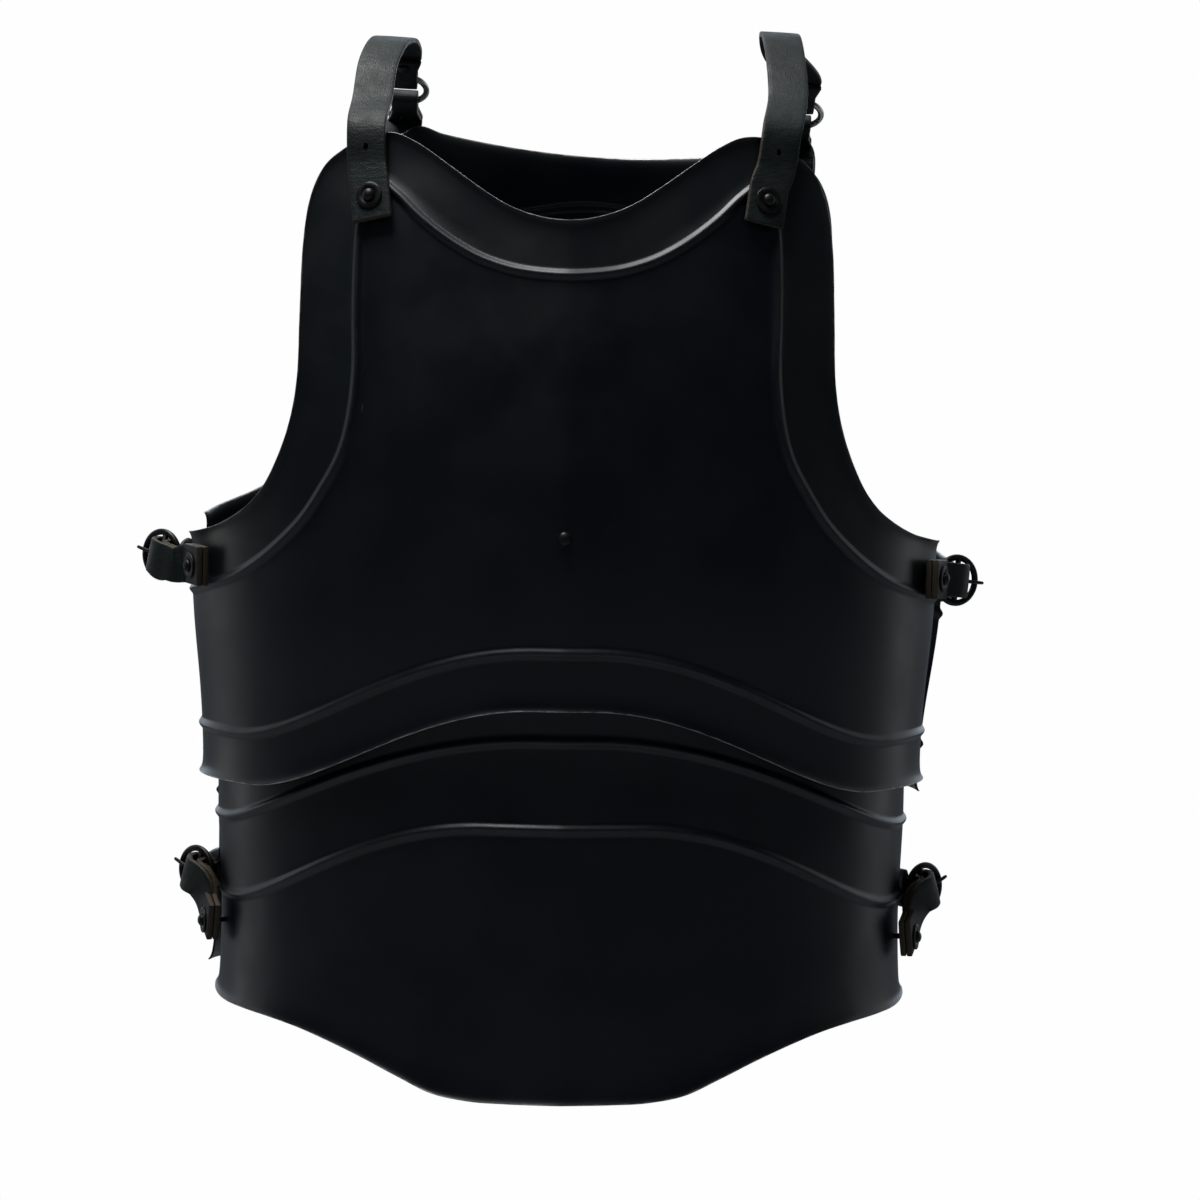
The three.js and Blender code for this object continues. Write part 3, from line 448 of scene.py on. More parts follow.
# %% Raise the four plates
plates = {
    "front_upper": raise_plate(
        "breastplate", FRONT, lambda share: upper_lines(FRONT, upper_ribs, share),
        upper_rows, plate_faces_across["front_upper"], no_inset, (1, 3), (0, 4), (0, None), front_hang),
    "front_lower": raise_plate(
        "waist_plate", FRONT, lambda share: lower_lines(lower_ribs, share, 1),
        lower_rows, plate_faces_across["front_lower"], lap_inset, (1, 2), (3,), (None, None), front_hang),
    "back_upper": raise_plate(
        "backplate", BACK, lambda share: upper_lines(BACK, back_ribs, share),
        upper_rows, plate_faces_across["back_upper"], no_inset, (1, 3), (0, 4), (0, None), back_hang),
    "back_lower": raise_plate(
        "back_waist_plate", BACK, lambda share: lower_lines(lower_ribs, share, back_hem_dip),
        lower_rows, plate_faces_across["back_lower"], lap_inset, (1, 2), (3,), (None, None), back_hang),
}
for label, plate in plates.items():
    in_place_of(plate, f"{label}_plate")
    print(plate.name, "has", len(plate.data.polygons), "faces")

# %% [markdown]
# ## Finding a place on the plates
# Whatever is riveted to a plate has to lie on the surface that shows. A place is a point of the body
# line with its normal, its way round the body and its way up. Rays cast down onto the new plates
# then tell how high a strip must lie there to rest on the beads and lips without cutting them.

# %% Cast rays onto the plates
seat_gap = 0.3 * MM
cast_reach = 30 * MM
cast_steps = (-1, -0.75, -0.5, -0.25, 0, 0.25, 0.5, 0.75, 1)


def surface_tree(piece):
    shape = bmesh.new()
    shape.from_mesh(piece.data)
    tree = BVHTree.FromBMesh(shape)
    shape.free()
    return tree


surfaces = {label: surface_tree(plate) for label, plate in plates.items()}
print("surfaces to cast rays onto:", ", ".join(surfaces))


# %% Find places and heights
def place_on(label, turn, down):
    side = FRONT if label.startswith("front") else BACK
    inset = lap_inset if label.endswith("lower") else no_inset
    hang = front_hang if side == FRONT else back_hang
    point = hang @ Vector(body_point(side, turn, down, inset(down)))
    normal = hang.to_3x3() @ Vector(outward(side, turn, down, inset))
    level = (hang.to_3x3() @ Vector((0, 0, 1))).cross(normal).normalized()
    return {"label": label, "point": point, "normal": normal, "round": level, "up": normal.cross(level)}


def span_at(place, half):
    """The highest and lowest reach of a plate's outer face over a square round a place."""
    heights = []
    for across in cast_steps:
        for along in cast_steps:
            start = place["point"] + half * (across * place["round"] + along * place["up"])
            start += cast_reach * place["normal"]
            hit = surfaces[place["label"]].ray_cast(start, -place["normal"], 2 * cast_reach)
            if hit[0] is not None:
                heights.append(cast_reach - hit[3])
    return max(heights), min(heights)


def lift_over(place, half, thickness):
    return span_at(place, half)[0] + seat_gap + thickness / 2


def shifted(place, way, reach, lift):
    return place["point"] + way * reach + place["normal"] * lift


def clear_of_sides(point, mirror, half_width, thickness):
    """Moves a point sideways until a strip through it clears the sides of all four plates."""
    far = 2 * chest_half_width
    least = 0
    for high in cast_steps:
        for along in cast_steps:
            y = point.y + along * pass_reach
            z = point.z + high * (half_width + seat_gap)
            for tree in surfaces.values():
                hit = tree.ray_cast(Vector((mirror * far, y, z)), Vector((-mirror, 0, 0)), far)
                if hit[0] is not None:
                    least = max(least, far - hit[3])
    least += pass_gap + thickness / 2
    return Vector((mirror * max(least, mirror * point.x), point.y, point.z))


# %% [markdown]
# ## Cutting and folding leather
# A strap is one flat strip, so its shape is a section carried along a curve. Each mark on the way
# gives the strip's middle, the direction of its width, and how wide it is there. Where it is
# clamped flat under a rivet, the mark also fixes the way its face looks. The section is extruded
# from station to station and each new ring is moved into its place, as a hand would fold a strip.

# %% Write down the sizes of the leather
strap_width = 20.5 * MM
strap_thickness = 3 * MM
tab_width = 20.5 * MM
tab_thickness = 3 * MM
fold_width = 18 * MM
hook_width = 14.5 * MM
back_strap_thickness = 2 * MM
strap_end_reach = 12.5 * MM
tab_end_reach = 10 * MM
flat_reach = 7.5 * MM
flat_margin = 2 * MM
pass_reach = 14 * MM
pass_gap = 1.2 * MM
station_step = 1.1 * MM
end_bevel = 0.4 * MM
leather_corner = 0.7 * MM
leather_crown = 0.15 * MM
face_parts = 8
rod_sides = 14
print(f"straps are {strap_width / MM:.1f} mm wide and {strap_thickness / MM:.0f} mm thick")


# %% Curve through the marks
def mark(point, across, width, lie=None):
    return {"point": point, "across": across, "width": width, "lie": lie}


def spline_between(points, index, share):
    """A centripetal curve through the marks, which keeps tight folds free of loops."""
    p1, p2 = points[index], points[index + 1]
    p0 = points[index - 1] if index > 0 else 2 * p1 - p2
    p3 = points[index + 2] if index + 2 < len(points) else 2 * p2 - p1
    d0, d1, d2 = (max((b - a).length, TINY) ** 0.5 for a, b in ((p0, p1), (p1, p2), (p2, p3)))
    leave = ((p1 - p0) / d0 - (p2 - p0) / (d0 + d1) + (p2 - p1) / d1) * d1
    arrive = ((p2 - p1) / d1 - (p3 - p1) / (d1 + d2) + (p3 - p2) / d2) * d1
    t = share
    held = p1 * (2 * t ** 3 - 3 * t ** 2 + 1) + p2 * (3 * t ** 2 - 2 * t ** 3)
    return held + leave * (t ** 3 - 2 * t ** 2 + t) + arrive * (t ** 3 - t ** 2)


def stations_through(marks):
    points = [m["point"] for m in marks]
    stations = []
    for index in range(len(marks) - 1):
        a, b = marks[index], marks[index + 1]
        is_flat = a["lie"] is not None and b["lie"] is not None
        steps = max(2, round((b["point"] - a["point"]).length / station_step))
        for step in range(steps + (index == len(marks) - 2)):
            share = step / steps
            point = a["point"].lerp(b["point"], share) if is_flat else spline_between(points, index, share)
            lie = Vector()
            hold = 0
            for end, weight in ((a, 1 - share), (b, share)):
                if end["lie"] is not None:
                    lie += end["lie"] * weight
                    hold += weight
            stations.append({
                "point": point,
                "across": a["across"].lerp(b["across"], share).normalized(),
                "width": a["width"] + (b["width"] - a["width"]) * share,
                "lie": lie,
                "hold": hold,
            })
    return stations


def set_frames(stations):
    """Gives every station its face and square directions."""
    last = len(stations) - 1
    for index, station in enumerate(stations):
        before = stations[max(0, index - 1)]["point"]
        after = stations[min(last, index + 1)]["point"]
        ahead = (after - before).normalized()
        bent = station["across"].cross(ahead).normalized()
        if station["hold"] > 0:
            lie = station["lie"].normalized()
            lie *= math.copysign(1, lie.dot(bent))
            bent = bent.lerp(lie, station["hold"]).normalized()
        station["ahead"] = ahead
        station["face"] = bent
        station["square"] = ahead.cross(bent).normalized()
    return stations


# %% Draw the sections
def leather_section(thickness):
    """Points round a strip's section: a share of the half width, an inset from it, and a height."""
    half = thickness / 2
    bends = [math.pi / 6 * k for k in range(4)]
    corner = [
        (leather_corner * (1 - math.sin(a)), half - leather_corner * (1 - math.cos(a)))
        for a in bends
    ]
    shares = [1 - 2 * (k + 1) / face_parts for k in range(face_parts - 1)]
    right = [(1, inset, height) for inset, height in corner]
    right += [(1, inset, -height) for inset, height in reversed(corner)]
    bottom = [(share, 0, -half) for share in shares]
    left = [(-1, inset, height) for _, inset, height in reversed(right)]
    top = [(share, 0, half + leather_crown * (1 - share ** 2)) for share in reversed(shares)]
    return right + bottom + left + top


def round_section(radius):
    angles = [2 * math.pi * k / rod_sides for k in range(rod_sides)]
    return [(math.cos(a), 0, radius * math.sin(a)) for a in angles]


print("points round a strap's section:", len(leather_section(strap_thickness)))


# %% Sweep a section
def sweep(stations, section, name):
    """Extrudes a closed section from station to station and closes both ends."""
    shape = bmesh.new()
    spot = shape.verts.layers.int.new("spot")
    along_layer = shape.verts.layers.float.new("along")
    rim_layer = shape.verts.layers.float.new("rim")

    def settle(vert, station, travelled):
        share, inset, height = section[vert[spot]]
        across = share * station["width"] / 2 - math.copysign(inset, share)
        thin = station["width"] / station.get("full", station["width"])
        vert.co = station["point"] + station["square"] * across + station["face"] * height * thin
        vert[along_layer] = travelled / MM
        vert[rim_layer] = min(station["width"] / 2 - abs(across), travelled, whole - travelled) / MM

    ring = []
    whole = sum((b["point"] - a["point"]).length for a, b in zip(stations, stations[1:]))
    for index in range(len(section)):
        vert = shape.verts.new()
        vert[spot] = index
        settle(vert, stations[0], 0)
        ring.append(vert)
    edges = [shape.edges.new((ring[i - 1], ring[i])) for i in range(len(ring))]
    first = edges
    travelled = 0
    for before, station in zip(stations, stations[1:]):
        travelled += (station["point"] - before["point"]).length
        made = bmesh.ops.extrude_edge_only(shape, edges=edges)["geom"]
        fresh = {part for part in made if isinstance(part, bmesh.types.BMVert)}
        for vert in fresh:
            settle(vert, station, travelled)
        edges = [part for part in made if isinstance(part, bmesh.types.BMEdge)
                 and part.verts[0] in fresh and part.verts[1] in fresh]
    bmesh.ops.contextual_create(shape, geom=first)
    bmesh.ops.contextual_create(shape, geom=edges)
    soften(shape, first + edges, end_bevel)
    bmesh.ops.recalc_face_normals(shape, faces=shape.faces[:])
    return piece_from(shape, name)


# %% [markdown]
# ## Rings, tongues and rivets
# A ring is a bent rod, so its round section is spun once about the ring's middle. The bar across a
# side ring is a rod of its own, set into the rim. A rivet's head is a profile spun about its shank,
# with a small hammered flat on top, and the washer under it is a flat ring with softened corners.

# %% Write down the sizes of the rings and rivets
ring_radius = 13.8 * MM
ring_wire = 1.7 * MM
bar_radius = 1.5 * MM
tongue_wire = 1 * MM
rivet_head = 3.2 * MM
rivet_head_height = 2.4 * MM
rivet_shank = 1.5 * MM
rivet_tail = 3 * MM
rivet_tail_height = 1 * MM
centre_rivet_head = 3.6 * MM
washer_radius = 6.8 * MM
washer_thickness = 1 * MM
washer_hole = rivet_shank + seat_gap
corner_soft = 0.25 * MM
head_flat_drop = 0.02 * MM
ring_middle = ring_radius - ring_wire
print(f"rings are {2 * ring_radius / MM:.1f} mm across, of {2 * ring_wire / MM:.1f} mm wire")


# %% Spin profiles
def spun(profile, steps=40):
    """A profile of (radius, height) pairs spun about Z, closed at its ends on the axis."""
    shape = bmesh.new()
    verts = [shape.verts.new((radius, 0, height)) for radius, height in profile]
    edges = [shape.edges.new(pair) for pair in zip(verts, verts[1:])]
    bmesh.ops.spin(
        shape, geom=verts + edges, cent=(0, 0, 0), axis=(0, 0, 1),
        angle=2 * math.pi, steps=steps, use_merge=True,
    )
    bmesh.ops.remove_doubles(shape, verts=shape.verts[:], dist=0.001 * MM)
    bmesh.ops.recalc_face_normals(shape, faces=shape.faces[:])
    return shape


def facing_frame(point, normal):
    """A frame at a point, with its Z along a normal."""
    return Matrix.Translation(point) @ normal.to_track_quat("Z", "Y").to_matrix().to_4x4()


def iron_from(shape, name, spot):
    bmesh.ops.transform(shape, matrix=spot, verts=shape.verts[:])
    return in_place_of(piece_from(shape, name), name)


# %% Make rivets and washers
def rivet(name, foot, normal, grip, head):
    """A tail inside, a shank through the hole and a domed head with a small flat on its top."""
    profile = [
        (0, -rivet_tail_height),
        (rivet_tail * 0.9, -rivet_tail_height),
        (rivet_tail, -rivet_tail_height * 0.7),
        (rivet_tail, 0),
        (rivet_shank, 0),
        (rivet_shank, grip),
        (head * 0.96, grip),
        (head, grip + corner_soft),
    ]
    dome = rivet_head_height - corner_soft
    for share in (0.18, 0.36, 0.54, 0.7, 0.84, 0.94):
        angle = share * math.pi / 2
        profile.append((head * math.cos(angle), grip + corner_soft + dome * math.sin(angle)))
    profile.append((0, grip + rivet_head_height - head_flat_drop))
    return iron_from(spun(profile), name, facing_frame(foot, normal))


def washer(name, place, height):
    """A flat ring with soft corners and a shallow dish round its hole."""
    outer, thick, soft = washer_radius, washer_thickness, corner_soft
    profile = [
        (washer_hole, soft), (washer_hole + soft, 0), (outer - soft, 0), (outer, soft),
        (outer, thick - soft), (outer - soft, thick), (rivet_head + 1.1 * MM, thick),
        (rivet_head + 0.7 * MM, thick * 0.75), (washer_hole, thick * 0.6), (washer_hole, soft),
    ]
    spot = facing_frame(shifted(place, place["normal"], height, 0), place["normal"])
    return iron_from(spun(profile, 48), name, spot)


def add_rivet(name, place, top):
    low = span_at(place, rivet_tail)[1]
    foot = shifted(place, place["normal"], low - seat_gap, 0)
    return rivet(name, foot, place["normal"], top - low + seat_gap, rivet_head)


# %% Bend the rings
def ring_frame(centre, to_tab, over):
    """X runs from the ring's middle toward its tab, Y along its bar and Z to the outside."""
    x = to_tab.normalized()
    z = (over - x * over.dot(x)).normalized()
    y = z.cross(x)
    turned = Matrix((x, y, z)).transposed().to_4x4()
    return Matrix.Translation(centre) @ turned


def ring(name, spot, has_bar, slot):
    shape = bmesh.new()
    section = bmesh.ops.create_circle(shape, radius=ring_wire, segments=18)["verts"]
    stand = Matrix.Translation((ring_middle, 0, 0)) @ Matrix.Rotation(math.pi / 2, 4, "X")
    bmesh.ops.transform(shape, matrix=stand, verts=section)
    bmesh.ops.spin(
        shape, geom=section + shape.edges[:], cent=(0, 0, 0), axis=(0, 0, 1),
        angle=2 * math.pi, steps=72, use_merge=True,
    )
    if has_bar:
        bar = bmesh.ops.create_cone(
            shape, cap_ends=True, segments=16,
            radius1=bar_radius, radius2=bar_radius, depth=2 * ring_middle)
        bmesh.ops.transform(shape, matrix=Matrix.Rotation(math.pi / 2, 4, "X"), verts=bar["verts"])
    bmesh.ops.recalc_face_normals(shape, faces=shape.faces[:])
    bmesh.ops.transform(shape, matrix=spot, verts=shape.verts[:])
    return in_place_of(piece_from(shape, name), name)


def in_frame(spot, along, over):
    return spot @ Vector((along, 0, over))


def way_in_frame(spot, x, y, z):
    return (spot.to_3x3() @ Vector((x, y, z))).normalized()


# %% [markdown]
# ## The side buckles
# A tab of doubled leather is folded round the ring's bar and riveted to the breastplate. The tongue
# has an eye round the bar and lies over the rim. The backplate's strap comes up through the ring and
# runs on under the tab. All of these are marks in the ring's own frame, written once for four rings.

# %% Give the fold and the hook in the ring's own frame
rim_top = ring_wire + seat_gap
layer_step = tab_thickness + seat_gap
strap_top = rim_top + back_strap_thickness + 2 * seat_gap
fold_radius = bar_radius + seat_gap + tab_thickness / 2
inner_layer = strap_top + tab_thickness / 2
outer_layer = inner_layer + layer_step
over_rim = ring_radius + 5 * MM
hook_top = ring_wire + seat_gap + back_strap_thickness / 2
hook_middle = fold_radius + (tab_thickness + back_strap_thickness) / 2 + seat_gap
eye_radius = bar_radius + seat_gap + tongue_wire
washer_seat = washer_thickness * 0.6 + seat_gap

tab_fold = [
    (over_rim, outer_layer),
    (ring_middle, outer_layer),
    (fold_radius * 0.8, outer_layer - 0.4 * MM),
    (-fold_radius * 0.6, outer_layer - 3.6 * MM),
    (-fold_radius - 0.1 * MM, 0.6 * MM),
    (-fold_radius * 0.72, -fold_radius * 0.76),
    (fold_radius * 0.05, -fold_radius - 0.05 * MM),
    (fold_radius * 0.76, -fold_radius * 0.72),
    (fold_radius + 0.05 * MM, 0.9 * MM),
    (fold_radius + 1.3 * MM, inner_layer - 1.2 * MM),
    (fold_radius * 2.6, inner_layer),
    (ring_middle, inner_layer),
    (over_rim, inner_layer),
]
strap_hook = [
    (hook_middle - 0.2 * MM, -3.2 * back_strap_thickness),
    (hook_middle, -1.2 * back_strap_thickness),
    (hook_middle + 0.1 * MM, 0.9 * MM),
    (hook_middle + 2.1 * MM, hook_top),
    (ring_middle, hook_top),
]
print("marks round the bar:", len(tab_fold), "for the tab and", len(strap_hook), "for the strap")

# %% Give each buckle its place
side_passes = [(28 * MM, 0.6), (14 * MM, 0.4), (-7 * MM, 0.15)]
bend_share = 0.7

# name, mirror, turn, down, out, behind, rise, yaw, dip, back turn, back down
side_seats = [
    ("left_upper", -1, 70, 45.9, 26, 25, 4, 37, 14, 70, 49.6),
    ("right_upper", 1, 73, 46.4, 18, 19, -2, 29, -6, 70, 46.5),
    ("left_lower", -1, 78, 84.8, 17, 19, 23, 42, 20, 70, 83),
    ("right_lower", 1, 78, 85.8, 17.5, 19, 23, 41, 20, 70, 81),
]
# over the plate, reach of the fold, strap's tail along and over the ring, its rise and width
lame_ends = {
    "upper": (0.8 * MM, 19 * MM, 16.5 * MM, hook_top, 0, 12 * MM),
    "lower": (4.2 * MM, 13 * MM, 15.8 * MM, 2.5 * MM, 5 * MM, 13 * MM),
}
print("buckles:", ", ".join(seat[0] for seat in side_seats))


# %% Make leather and tongues
def leather(name, marks, thickness):
    piece = sweep(set_frames(stations_through(marks)), leather_section(thickness), name)
    return in_place_of(piece, name)


def tongue(name, spot):
    eye = [(eye_radius * math.cos(a), eye_radius * math.sin(a))
           for a in (math.radians(-150 + 240 * k / 10) for k in range(11))]
    line = eye + [
        (-ring_radius * 0.45, rim_top + tongue_wire),
        (-ring_radius * 0.8, rim_top + tongue_wire),
        (-ring_radius - 1.2 * MM, rim_top + tongue_wire * 0.9),
        (-ring_radius - 2 * MM, rim_top + tongue_wire * 0.8),
    ]
    across = way_in_frame(spot, 0, 1, 0)
    marks = [mark(in_frame(spot, u, n), across, 2 * tongue_wire) for u, n in line]
    for end, share in zip(marks[-2:], (0.85, 0.55)):
        end["width"] *= share
    stations = set_frames(stations_through(marks))
    for station in stations:
        station["full"] = 2 * tongue_wire
    return in_place_of(sweep(stations, round_section(tongue_wire), name), name)


# %% Buckle the four sides
iron_pieces = []
leather_pieces = []
for name, mirror, turn, down, out, behind, rise, yaw, dip, back_turn, back_down in side_seats:
    lame = name.split("_")[1]
    over, fold_reach, tail, tail_top, tail_rise, tail_width = lame_ends[lame]
    front_place = place_on(f"front_{lame}", mirror * turn, down)
    back_place = place_on(f"back_{lame}", mirror * back_turn, back_down)
    yaw, dip = math.radians(yaw), math.radians(dip)
    centre = front_place["point"] + Vector((mirror * out, behind, rise)) * MM
    level_way = Vector((-mirror * math.cos(yaw), -math.sin(yaw), 0))
    to_tab = level_way * math.cos(dip) - Vector((0, 0, math.sin(dip)))
    spot = ring_frame(centre, to_tab, Vector((mirror * math.sin(yaw), -math.cos(yaw), 0)))
    bar_way = way_in_frame(spot, 0, 1, 0)
    iron_pieces += [ring(f"{name}_ring", spot, True, "black_iron"), tongue(f"{name}_tongue", spot)]

    lift = lift_over(front_place, tab_width / 2 + flat_margin, tab_thickness) + over
    ahead = front_place["round"] * -mirror
    up_way = front_place["up"] * -mirror
    to_ring = centre - front_place["point"]
    to_ring = (to_ring - front_place["normal"] * to_ring.dot(front_place["normal"])).normalized()
    bend_way = to_ring.cross(front_place["normal"]).lerp(up_way, bend_share).normalized()

    def tab_layer(height):
        end = shifted(front_place, ahead, tab_end_reach, height)
        bend = shifted(front_place, to_ring, flat_reach, height)
        spots = ((end, up_way), (bend, bend_way))
        return [mark(point, way, tab_width, front_place["normal"]) for point, way in spots]

    fold = [mark(in_frame(spot, u, n), bar_way, fold_width) for u, n in tab_fold if u <= fold_reach]
    tab_marks = tab_layer(lift + layer_step) + fold + tab_layer(lift)[::-1]
    leather_pieces.append(leather(f"{name}_tab", tab_marks, tab_thickness))
    tab_top = lift + layer_step + tab_thickness / 2 + seat_gap
    iron_pieces.append(washer(f"{name}_tab_washer", front_place, tab_top))
    iron_pieces.append(add_rivet(f"{name}_tab_rivet", front_place, tab_top + washer_seat))

    back_lift = lift_over(back_place, strap_width / 2 + flat_margin, back_strap_thickness)
    back_up = back_place["up"] * -mirror
    inward = back_place["round"] * mirror
    back_marks = [
        mark(shifted(back_place, inward, reach, back_lift), back_up, strap_width, back_place["normal"])
        for reach in (tab_end_reach, -flat_reach)
    ]
    for pass_behind, share in side_passes:
        level = centre.z + (back_place["point"].z - centre.z) * share
        beside = Vector((0, pass_behind, level))
        clear = clear_of_sides(beside, mirror, strap_width / 2, back_strap_thickness)
        back_marks.append(mark(clear, Vector((0, 0, -mirror)), strap_width, Vector((mirror, 0, 0))))
    back_marks += [mark(in_frame(spot, u, n), bar_way, hook_width) for u, n in strap_hook]
    tail_end = in_frame(spot, tail, tail_top) - bar_way * mirror * tail_rise
    back_marks.append(mark(tail_end, bar_way, tail_width))
    leather_pieces.append(leather(f"{name}_back_strap", back_marks, back_strap_thickness))
    back_top = back_lift + back_strap_thickness / 2 + seat_gap
    iron_pieces.append(add_rivet(f"{name}_back_strap_rivet", back_place, back_top))
print("side pieces:", len(iron_pieces), "of iron and", len(leather_pieces), "of leather")

# %% [markdown]
# ## Over the shoulders
# Each shoulder strap is riveted to the breastplate, rises over the shoulder and folds round a nickel
# ring behind. Doubled leather runs from the ring down onto the backplate. The two sides hang a
# little differently, so each has its own short table of marks for the free run.

# %% Give the shoulder straps their way
strap_seat = (30.2, 7)
back_tab_seat = (34.1, 4.5)
tab_brow_down = -1
shoulder_ring_place = Vector((110, 70, -25)) * MM
shoulder_tilt = math.radians(30)
closing_reach = ring_radius + 9.7 * MM
loop_flat = ring_radius + 3 * MM
loop_end_width = 19.3 * MM
strap_runs = {
    # across, behind, height
    "left": [(101.5, -66, -38), (100, -45, -18), (96, -22, -4.5), (92.3, 0, -0.8), (91, 26, -2.4)],
    "right": [(112, -66, -35), (112, -45, -14), (111.2, -22, 0.5), (110.8, 0, 3.8), (115, 26, -3.4)],
}
strap_lays = {
    # turn, down
    "left": [(31, 3.6), (31.3, -0.6)],
    "right": [(31.8, 3.6), (33, -0.6)],
}
strap_leans = {"left": math.radians(11), "right": math.radians(-13)}
print("marks over each shoulder:", {label: len(run) for label, run in strap_runs.items()})

# %% [markdown]
# ## The punched holes
# Each shoulder strap has one spare hole, a short upright slot. A leatherworker cuts it with an oval
# punch, and here an oval rod is taken away from the strap in the same way. The edge of the cut is
# kept sharp, so the shading doesn't run from the strap's face into the hole.

# %% Punch a strap
punch_height = -65 * MM
punch_search = 4 * MM
punch_radius = 1.4 * MM
punch_stretch = 1.25
punch_depth = 8 * MM
sharp_angle = math.radians(50)


def punch(strap):
    """Cuts the hole through the middle of a strap, square to its face."""
    near = [
        vert.co for vert in strap.data.vertices
        if abs(vert.co.z - punch_height) < punch_search and vert.co.y < 0
    ]
    middle = sum(near, Vector()) / len(near)
    normal = surface_tree(strap).find_nearest(middle)[1]
    stamp = bmesh.new()
    bmesh.ops.create_cone(
        stamp, cap_ends=True, segments=28,
        radius1=punch_radius, radius2=punch_radius, depth=punch_depth)
    bmesh.ops.scale(stamp, vec=(1, punch_stretch, 1), verts=stamp.verts[:])
    bmesh.ops.transform(stamp, matrix=facing_frame(middle, normal), verts=stamp.verts[:])
    cutter = object_from(stamp, "stamp")
    cut = strap.modifiers.new("hole", "BOOLEAN")
    cut.object = cutter
    cut.solver = "EXACT"
    pierced = strap.evaluated_get(bpy.context.evaluated_depsgraph_get())
    cut_data = bpy.data.meshes.new_from_object(pierced)
    strap.modifiers.clear()
    strap.data = cut_data
    cut_data.set_sharp_from_angle(angle=sharp_angle)
    stamp_data = cutter.data
    bpy.data.objects.remove(cutter)
    bpy.data.meshes.remove(stamp_data)


# %% Fold leather round a ring's rim
def leaning(place, angle):
    """The same place with its axes turned in the plate's surface."""
    lean = Quaternion(place["normal"], angle)
    return {**place, "up": lean @ place["up"], "round": lean @ place["round"]}


def rim_loop(thickness):
    """The way of doubled leather round a ring's rim, along and over its plane, out and back."""
    over = ring_wire + seat_gap + thickness / 2
    half = (thickness + seat_gap) / 2
    rim = math.sqrt(ring_middle ** 2 - (hook_width / 2) ** 2) - 0.6 * MM
    out = [
        (closing_reach + rivet_head + 1.5 * MM, half),
        (closing_reach - rivet_head - 1 * MM, half),
        (ring_radius + 2.2 * MM, (half + over) / 2),
        (ring_middle, over),
        (rim, over),
        (rim - 0.75 * over, 0.72 * over),
    ]
    return out + [(rim - 1.05 * over, 0)] + [(u, -n) for u, n in reversed(out)]


def closing_rivet(name, point, normal, thickness):
    reach = thickness + 1.5 * seat_gap
    return rivet(name, point - normal * reach, normal, 2 * reach, rivet_head)


